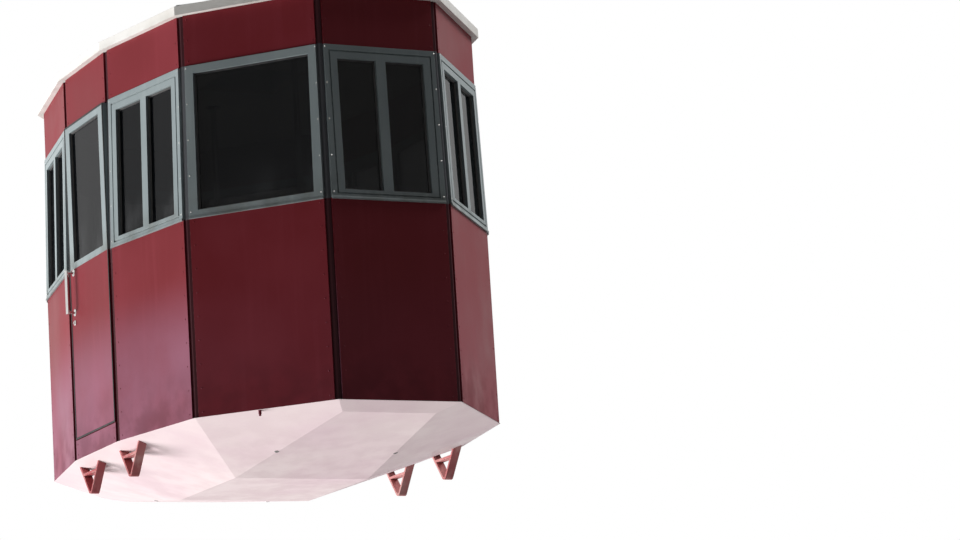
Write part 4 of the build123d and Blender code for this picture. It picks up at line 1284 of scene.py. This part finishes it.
@dataclass
class RoofTrim(Trim):
    """Seam caps and rim rivets of the roof, and the fittings of its hatch lid."""

    eaves_inset: float = -0.015
    top_inset: float = 0.560
    roof_foot: float = 2.337
    roof_top: float = 2.502
    cap_half: float = 0.016
    cap_rise: float = 0.007
    cap_root: float = 0.006
    cap_end: float = 0.03
    rim_margin: float = 0.04
    rim_pitch: float = 0.16
    rim_sink: float = 0.003
    rim_rivet_radius: float = 0.0045
    lid_half_x: float = 0.310
    lid_half_y: float = 0.290
    lid_foot: float = 2.557
    lid_thickness: float = 0.030
    grip_half: float = 0.075
    grip_y: float = -0.215
    grip_rise: float = 0.042
    grip_root: float = 0.002
    grip_bend: float = 0.022
    grip_radius: float = 0.007
    grip_foot: Sequence[Pair] = ((0.016, -0.001), (0.016, 0.003), (0.012, 0.005), (0.0, 0.005))
    screw_pitch: float = 0.115
    screw_inset: float = 0.022
    screw_radius: float = 0.005
    bead: float = 0.005
    bead_root: float = 0.001
    bead_insets: Pair = (0.004, 0.012)

    def seam_caps(self) -> None:
        """Builds the cap over each of the roof's twelve seams."""
        half = self.cap_half
        rise = self.cap_rise
        section = [(-half, -self.cap_root), (-half, 0.25 * rise), (-0.6 * half, 0.85 * rise), (0.0, rise),
                   (0.6 * half, 0.85 * rise), (half, 0.25 * rise), (half, -self.cap_root)]
        shape = Shape()
        for foot, top in zip(self.plan.inset(self.eaves_inset), self.plan.inset(self.top_inset)):
            start = Vector((foot.x, foot.y, self.plan.level(self.roof_foot)))
            stop = Vector((top.x, top.y, self.plan.level(self.roof_top)))
            run = (stop - start).normalized()
            across = run.cross(UP).normalized()
            up = across.cross(run)
            shape.strip([[point + across * wide + up * tall for wide, tall in section]
                         for point in (start + run * self.cap_end, stop)])
        shape.piece("roof_seam_caps", self.shop, Body.CABIN, Slot.ROOF_GREY)

    def rim_rivets(self) -> None:
        """Builds the rivets along the white rim."""
        middle = UP * self.plan.level((self.plan.eaves + self.roof_foot) / 2)
        shape = Shape()
        for start, stop in sides_of(self.plan.inset(self.eaves_inset)):
            run = (stop - start).normalized()
            outward = leftward(run)
            for place in spaced(self.rim_margin, (stop - start).length - self.rim_margin, self.rim_pitch):
                seat = start + run * place + middle - outward * self.rim_sink
                shape.fasten(Fastener.RIVET, seat, outward, self.rim_rivet_radius)
        shape.piece("rim_rivets", self.shop, Body.CABIN, Slot.RIM_WHITE)

    def lid_grip(self, top: float) -> None:
        """Builds the lid's lifting handle with its feet.

        Args:
            top: Height of the lid's top in the part's frame.
        """
        corners = [Vector((side * self.grip_half, self.grip_y, top + rise))
                   for side, rise in ((-1, -self.grip_root), (-1, self.grip_rise),
                                      (1, self.grip_rise), (1, -self.grip_root))]
        shape = Shape()
        shape.rod(rounded_path(corners, self.grip_bend, steps=7), self.grip_radius, sides=14)
        for side in BOTH:
            seat = Vector((side * self.grip_half, self.grip_y, top))
            shape.turned(upright(seat, UP), self.grip_foot, sides=24)
        shape.piece("hatch_grip", self.shop, Body.HATCH, Slot.STEEL)

    def lid_screws(self, top: float) -> None:
        """Builds the screws round the lid, with one at each corner.

        Args:
            top: Height of the lid's top in the part's frame.
        """
        x = self.lid_half_x - self.screw_inset
        y = self.lid_half_y - self.screw_inset
        half_round = [(-place, y) for place in spaced(-x, x, self.screw_pitch)[:-1]]
        half_round += [(x, place) for place in spaced(-y, y, self.screw_pitch)[:-1]]
        shape = Shape()
        for along, across in half_round:
            for side in BOTH:
                seat = Vector((side * along, side * across, top))
                shape.fasten(Fastener.SCREW, seat, UP, self.screw_radius)
        shape.piece("hatch_screws", self.shop, Body.HATCH, Slot.STEEL)

    def lid_bead(self) -> None:
        """Builds the rubber bead under the lid's edge."""
        outer, inner = self.bead_insets
        foot = self.plan.level(self.lid_foot)
        loops = []
        for inset, drop in ((outer, -self.bead_root), (outer, self.bead),
                            (inner, self.bead), (inner, -self.bead_root)):
            x = self.lid_half_x - inset
            y = self.lid_half_y - inset
            loops.append([Vector((along * x, across * y, foot - drop)) for along, across in SQUARE])
        shape = Shape()
        shape.band(loops)
        shape.piece("hatch_bead", self.shop, Body.HATCH, Slot.LINER_RUBBER, SEAL)

    def build(self) -> None:
        """Builds all trim of the roof."""
        top = self.plan.level(self.lid_foot + self.lid_thickness)
        self.seam_caps()
        self.rim_rivets()
        self.lid_grip(top)
        self.lid_screws(top)
        self.lid_bead()


@dataclass
class UndersideTrim(Trim):
    """Rivet rows along the folds and edges of the pan, and its drain plugs."""

    flat_half_length: float = 0.425
    flat_half_width: float = 0.415
    strip_run: float = 0.150
    row_offset: float = 0.020
    row_pitch: float = 0.120
    row_margin: float = 0.045
    edge_inset: float = 0.028
    rivet_radius: float = 0.005
    rivet_sink: float = 0.0033
    plug_x: float = 0.919
    plug_y: float = 0.368
    plug: Sequence[Pair] = ((0.013, -0.003), (0.013, 0.0015), (0.01105, 0.003), (0.0065, 0.003),
                            (0.00585, 0.001), (0.0, 0.001))
    below_z: float = -7.0
    facing_limit: float = -0.3

    def rows(self) -> list[tuple[Vector, Vector, Sequence[float]]]:
        """Lays out the rivet rows: along the folds between the walls and the flat, round the flat,
        across both end strips and round the edge.

        Returns:
            Start, stop and offsets to the side of each row, in plan.
        """
        double = (-self.row_offset, self.row_offset)
        single = (0.0,)
        strip_x = self.plan.half_length - self.strip_run
        end_half = self.plan.end_half_width
        rows = []
        for spot in self.plan.corners():
            flat = Vector((math.copysign(self.flat_half_length, spot.x),
                           math.copysign(self.flat_half_width, spot.y), 0))
            start = Vector((math.copysign(min(abs(spot.x), strip_x), spot.x), spot.y, 0))
            rows.append((start, flat, double))
        flat = [Vector((along * self.flat_half_length, across * self.flat_half_width, 0))
                for along, across in SQUARE]
        rows += [(start, stop, double) for start, stop in sides_of(flat)]
        rows += [(Vector((end * strip_x, -end_half, 0)), Vector((end * strip_x, end_half, 0)), double)
                 for end in BOTH]
        rows += [(start, stop, single) for start, stop in sides_of(self.plan.inset(self.edge_inset))]
        return rows

    def plugs(self, pan: Surface) -> None:
        """Builds the four drain plugs, each seated on the pan.

        Args:
            pan: Surface of the pan.
        """
        shape = Shape()
        for end in BOTH:
            for side in BOTH:
                found = pan.seat(Vector((end * self.plug_x, side * self.plug_y, self.below_z)), UP)
                if found:
                    shape.turned(upright(*found), self.plug, sides=20)
        shape.piece("pan_drain_plugs", self.shop, Body.CABIN, Slot.WHEEL_IRON)

    def rivets(self, pan: Surface) -> None:
        """Builds the rivets, each seated on the pan.

        Args:
            pan: Surface of the pan.
        """
        shape = Shape()
        for start, stop, offsets in self.rows():
            run = (stop - start).normalized()
            places = spaced(self.row_margin, (stop - start).length - self.row_margin, self.row_pitch)
            for offset in offsets:
                for place in places:
                    spot = start + run * place + leftward(run) * offset
                    found = pan.seat(Vector((spot.x, spot.y, self.below_z)), UP)
                    if found and found[1].z < self.facing_limit:
                        point, normal = found
                        shape.fasten(Fastener.RIVET, point - normal * self.rivet_sink, normal,
                                     self.rivet_radius)
        shape.piece("pan_rivets", self.shop, Body.CABIN, Slot.PAN_WHITE)

    def build(self) -> None:
        """Builds the plugs and the rivets of the pan."""
        pan = Surface("belly_pan")
        self.plugs(pan)
        self.rivets(pan)


@dataclass
class HangerTrim(Trim):
    """Bolts of the hanger's feet and sleeves, and the grease nipple on its head."""

    foot_x: float = 0.640
    flange_top: float = 2.608
    bolt_x: float = 0.033
    bolt_y: float = 0.074
    bolt_radius: float = 0.008
    hanger_y: float = -0.185
    leg_head_x: float = 0.050
    leg_head_z: float = 0.002
    knee_x: float = 0.190
    knee_z: float = -0.900
    sleeve_radius: float = 0.054
    sleeve_bolt_drop: float = 0.095
    sleeve_bolt_sink: float = 0.003
    sleeve_bolt_radius: float = 0.006
    head_top_z: float = 0.205
    nipple: Sequence[Pair] = ((0.009, -0.002), (0.009, 0.006), (0.005, 0.007), (0.005, 0.014),
                              (0.0065, 0.016), (0.0065, 0.019), (0.004, 0.022), (0.0, 0.022))

    def build(self) -> None:
        """Builds the bolts of the feet and sleeves and the grease nipple."""
        shape = Shape()
        flange_z = self.plan.level(self.flange_top)
        for end in BOTH:
            for across in BOTH:
                for side in BOTH:
                    seat = Vector((end * self.foot_x + across * self.bolt_x, side * self.bolt_y, flange_z))
                    shape.fasten(Fastener.BOLT, seat, UP, self.bolt_radius)
            head = Vector((end * self.leg_head_x, self.hanger_y, self.leg_head_z))
            knee = Vector((end * self.knee_x, self.hanger_y, self.knee_z))
            middle = head + (knee - head).normalized() * self.sleeve_bolt_drop
            for axis in (RIGHT, LEFT):
                seat = middle + axis * (self.sleeve_radius - self.sleeve_bolt_sink)
                shape.fasten(Fastener.BOLT, seat, axis, self.sleeve_bolt_radius)
        shape.turned(upright(Vector((0, self.hanger_y, self.head_top_z)), UP), self.nipple, sides=12)
        shape.piece("hanger_bolts", self.shop, Body.CABIN, Slot.STEEL)


@dataclass
class CarriageTrim(Trim):
    """Nuts, caps, bolts and wheel rivets of the carriage."""

    axle_z: float = 0.162
    pivot_x: float = 0.500
    pivot_z: float = 0.237
    cheek_y: float = 0.079
    arm_y: float = 0.101
    pivot_radius: float = 0.030
    spacer_z: float = 0.320
    spacer_radius: float = 0.018
    axle_radius: float = 0.025
    axle_cap: Sequence[Pair] = ((0.034, -0.001), (0.034, 0.005), (0.030, 0.008), (0.012, 0.009),
                                (0.010, 0.007), (0.0, 0.007))
    rocker_y: float = 0.055
    outer_axle_x: float = 0.700
    inner_axle_x: float = 0.300
    rivet_ring: float = 0.134
    rivet_face: float = 0.0318
    rivet_count: int = 12
    rivet_radius: float = 0.005
    pin_z: float = 0.120
    pin_near_y: float = -0.265
    pin_far_y: float = 0.101
    collar_ring: float = 0.041
    collar_bolts: int = 6
    bolt_radius: float = 0.005
    socket_y: float = -0.110
    socket_z: float = 0.040
    socket_radius: float = 0.038
    socket_bolts: Pair = (0.800, 0.825)

    def frame_bolts(self) -> None:
        """Builds the nuts of the rocker pins and the spacer, and the bolts of collars and sockets."""
        shape = Shape()
        nuts = [(end * self.pivot_x, self.pivot_z, self.arm_y, self.pivot_radius) for end in BOTH]
        for x, z, right_y, radius in [*nuts, (0, self.spacer_z, self.cheek_y, self.spacer_radius)]:
            shape.fasten(Fastener.NUT, Vector((x, self.cheek_y, z)), LEFT, radius)
            shape.fasten(Fastener.NUT, Vector((x, -right_y, z)), RIGHT, radius)
        for x, z in circle(self.collar_ring, self.collar_bolts):
            for y, axis in ((self.pin_near_y, RIGHT), (self.pin_far_y, LEFT)):
                shape.fasten(Fastener.BOLT, Vector((x, y, self.pin_z + z)), axis, self.bolt_radius)
        for end in BOTH:
            for x in self.socket_bolts:
                seat = Vector((end * x, self.socket_y, self.socket_z + self.socket_radius))
                shape.fasten(Fastener.BOLT, seat, UP, self.bolt_radius)
        shape.piece("carriage_bolts", self.shop, Body.CARRIAGE, Slot.STEEL)

    def axle_ends(self) -> None:
        """Builds the nut and the cap on the outer axle of each rocker."""
        for body, end in ((Body.ROCKER_NEAR, -1), (Body.ROCKER_FAR, 1)):
            middle = Vector((end * self.outer_axle_x, 0, self.axle_z))
            shape = Shape()
            shape.fasten(Fastener.NUT, middle + LEFT * self.rocker_y, LEFT, self.axle_radius)
            shape.turned(upright(middle + RIGHT * self.rocker_y, RIGHT), self.axle_cap, sides=28)
            shape.piece(f"{body.value}_axle_ends", self.shop, body, Slot.STEEL)

    def wheel_rivets(self) -> None:
        """Builds the ring of rivets on both flanges of each wheel."""
        spots = circle(self.rivet_ring, self.rivet_count, math.pi / self.rivet_count)
        for body, middle in ((Body.WHEEL_A, -self.outer_axle_x), (Body.WHEEL_B, -self.inner_axle_x),
                             (Body.WHEEL_C, self.inner_axle_x), (Body.WHEEL_D, self.outer_axle_x)):
            shape = Shape()
            for axis in (RIGHT, LEFT):
                for x, z in spots:
                    seat = Vector((middle + x, 0, self.axle_z + z)) + axis * self.rivet_face
                    shape.fasten(Fastener.RIVET, seat, axis, self.rivet_radius)
            shape.piece(f"{body.value}_rivets", self.shop, body, Slot.WHEEL_IRON)

    def build(self) -> None:
        """Builds all trim of the carriage."""
        self.frame_bolts()
        self.axle_ends()
        self.wheel_rivets()


@dataclass
class InteriorTrim(Trim):
    """Flanges and screws of the grab poles."""

    pole_x: float = 0.620
    pole_radius: float = 0.0195
    flange_radius: float = 0.048
    flange_rise: float = 0.006
    ceiling_foot: float = 2.260
    screw_ring: float = 0.03648
    screw_count: int = 3
    screw_turn: float = 0.4
    screw_radius: float = 0.004

    def build(self) -> None:
        """Builds the flanges at the floor and the ceiling."""
        pole = self.pole_radius
        rim = self.flange_radius
        rise = self.flange_rise
        section = [(pole, 0.0), (rim, 0.0), (rim, 0.6 * rise), (0.9 * rim, rise), (1.35 * pole, rise),
                   (1.15 * pole, 2.6 * rise), (pole, 2.6 * rise)]
        shape = Shape()
        for end in BOTH:
            for height, axis in ((self.plan.floor_top, UP), (self.ceiling_foot, DOWN)):
                foot = Vector((end * self.pole_x, 0, self.plan.level(height)))
                shape.ring(upright(foot, axis), section, sides=36)
                for x, y in circle(self.screw_ring, self.screw_count, self.screw_turn):
                    seat = foot + Vector((x, y, 0)) + axis * rise
                    shape.fasten(Fastener.SCREW, seat, axis, self.screw_radius)
        shape.piece("pole_flanges", self.shop, Body.CABIN, Slot.RAIL_CHROME)


@dataclass
class Studio:
    """Plain floor, soft light and the camera at the photograph's viewing angle."""

    floor_z: float = -8.42
    floor_half: float = 60.0
    camera_place: Triple = (-18.68, 8.19, -8.30)
    heading: float = 242.77
    pitch: float = 11.58
    roll: float = -3.61
    focal_pixels: float = 3500.0
    picture_width: float = 960.0
    sensor: float = 36.0
    shift_pixels: float = 5.0
    clip_end: float = 200.0
    ambient: float = 0.045
    floor_tone: Colour = ink(250, 250, 250)
    floor_bounce: Colour = ink(70, 68, 70)
    lamp_distance: float = 12.0
    # Name, direction towards the lamp, strength and spread in degrees
    lamps: list[tuple[str, Triple, float, float]] = field(default_factory=lambda: [
        ("left_key", (0.66, 0.66, -0.35), 4.9, 30.0),
        ("right_fill", (0.0, -0.75, 0.66), 2.6, 24.0),
        ("top_soft", (0.3, 0.1, 1.0), 1.1, 50.0),
        ("low_left", (0.15, 0.95, -1.0), 1.05, 30.0),
        ("low_bounce", (-0.05, -0.40, -1.0), 0.48, 40.0),
    ])

    def floor(self) -> None:
        """Builds the pale floor, which throws little light back at the object."""
        bench = Bench("studio_floor")
        tone = bench.blend(bench.seen(), self.floor_bounce, self.floor_tone)
        material = bench.close({"Base Color": tone, "Roughness": 0.9, "Specular IOR Level": 0.1})
        mesh = bmesh.new()
        half = self.floor_half
        mesh.faces.new([mesh.verts.new((x * half, y * half, self.floor_z)) for x, y in SQUARE])
        data = bpy.data.meshes.new("studio_floor")
        mesh.to_mesh(data)
        mesh.free()
        data.materials.append(material)
        thing = bpy.data.objects.new("studio_floor", data)
        bpy.context.scene.collection.objects.link(thing)
        thing.visible_shadow = False

    def world(self) -> None:
        """Sets a white surround that lights the object at a plain level."""
        world = bpy.data.worlds.new("studio_surround")
        bpy.context.scene.world = world
        tree = Tree(world)
        level = tree.add("ShaderNodeMapRange", {"Value": tree.seen(), "To Min": self.ambient, "To Max": 1.0})
        sockets = {"Color": (1.0, 1.0, 1.0, 1.0), "Strength": level.outputs["Result"]}
        back = tree.add("ShaderNodeBackground", sockets)
        tree.add("ShaderNodeOutputWorld", {"Surface": back.outputs[0]})

    def light(self) -> None:
        """Adds the soft lamps."""
        for name, toward, strength, spread in self.lamps:
            data = bpy.data.lights.new(name, "SUN")
            data.energy = strength
            data.angle = math.radians(spread)
            lamp = bpy.data.objects.new(name, data)
            lamp.matrix_world = upright(Vector(toward) * self.lamp_distance, Vector(toward))
            bpy.context.scene.collection.objects.link(lamp)

    def camera(self) -> None:
        """Adds the camera."""
        data = bpy.data.cameras.new("photo_camera")
        data.sensor_width = self.sensor
        data.lens = self.focal_pixels / self.picture_width * self.sensor
        data.shift_x = self.shift_pixels / self.picture_width
        data.clip_end = self.clip_end
        camera = bpy.data.objects.new("photo_camera", data)
        turn = Matrix.Rotation(math.radians(self.heading), 4, "Z")
        tilt = Matrix.Rotation(math.radians(90.0 + self.pitch), 4, "X")
        lean = Matrix.Rotation(math.radians(self.roll), 4, "Z")
        camera.matrix_world = Matrix.Translation(self.camera_place) @ turn @ tilt @ lean
        bpy.context.scene.collection.objects.link(camera)
        bpy.context.scene.camera = camera

    def build(self) -> None:
        """Builds the whole studio."""
        self.camera()
        self.floor()
        self.world()
        self.light()
        bpy.context.scene.view_settings.view_transform = "Standard"


def main() -> None:
    """Builds the scene in order."""
    logging.basicConfig(level=logging.INFO, format="%(message)s")
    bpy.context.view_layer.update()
    Studio().build()
    plan = CabinPlan()
    shop = PaintShop()
    for row in frame["record"]["subparts"]:
        shop.dress(row["node"], Slot(row["material_slot"]))
    for trim in (WallTrim(plan, shop), Glazing(plan, shop),
                 DoorTrim(plan, shop, Body.DOOR_LEFT, 1), DoorTrim(plan, shop, Body.DOOR_RIGHT, -1),
                 RoofTrim(plan, shop), UndersideTrim(plan, shop), HangerTrim(plan, shop),
                 CarriageTrim(plan, shop), InteriorTrim(plan, shop)):
        trim.build()


if __name__ == "__main__":
    main()
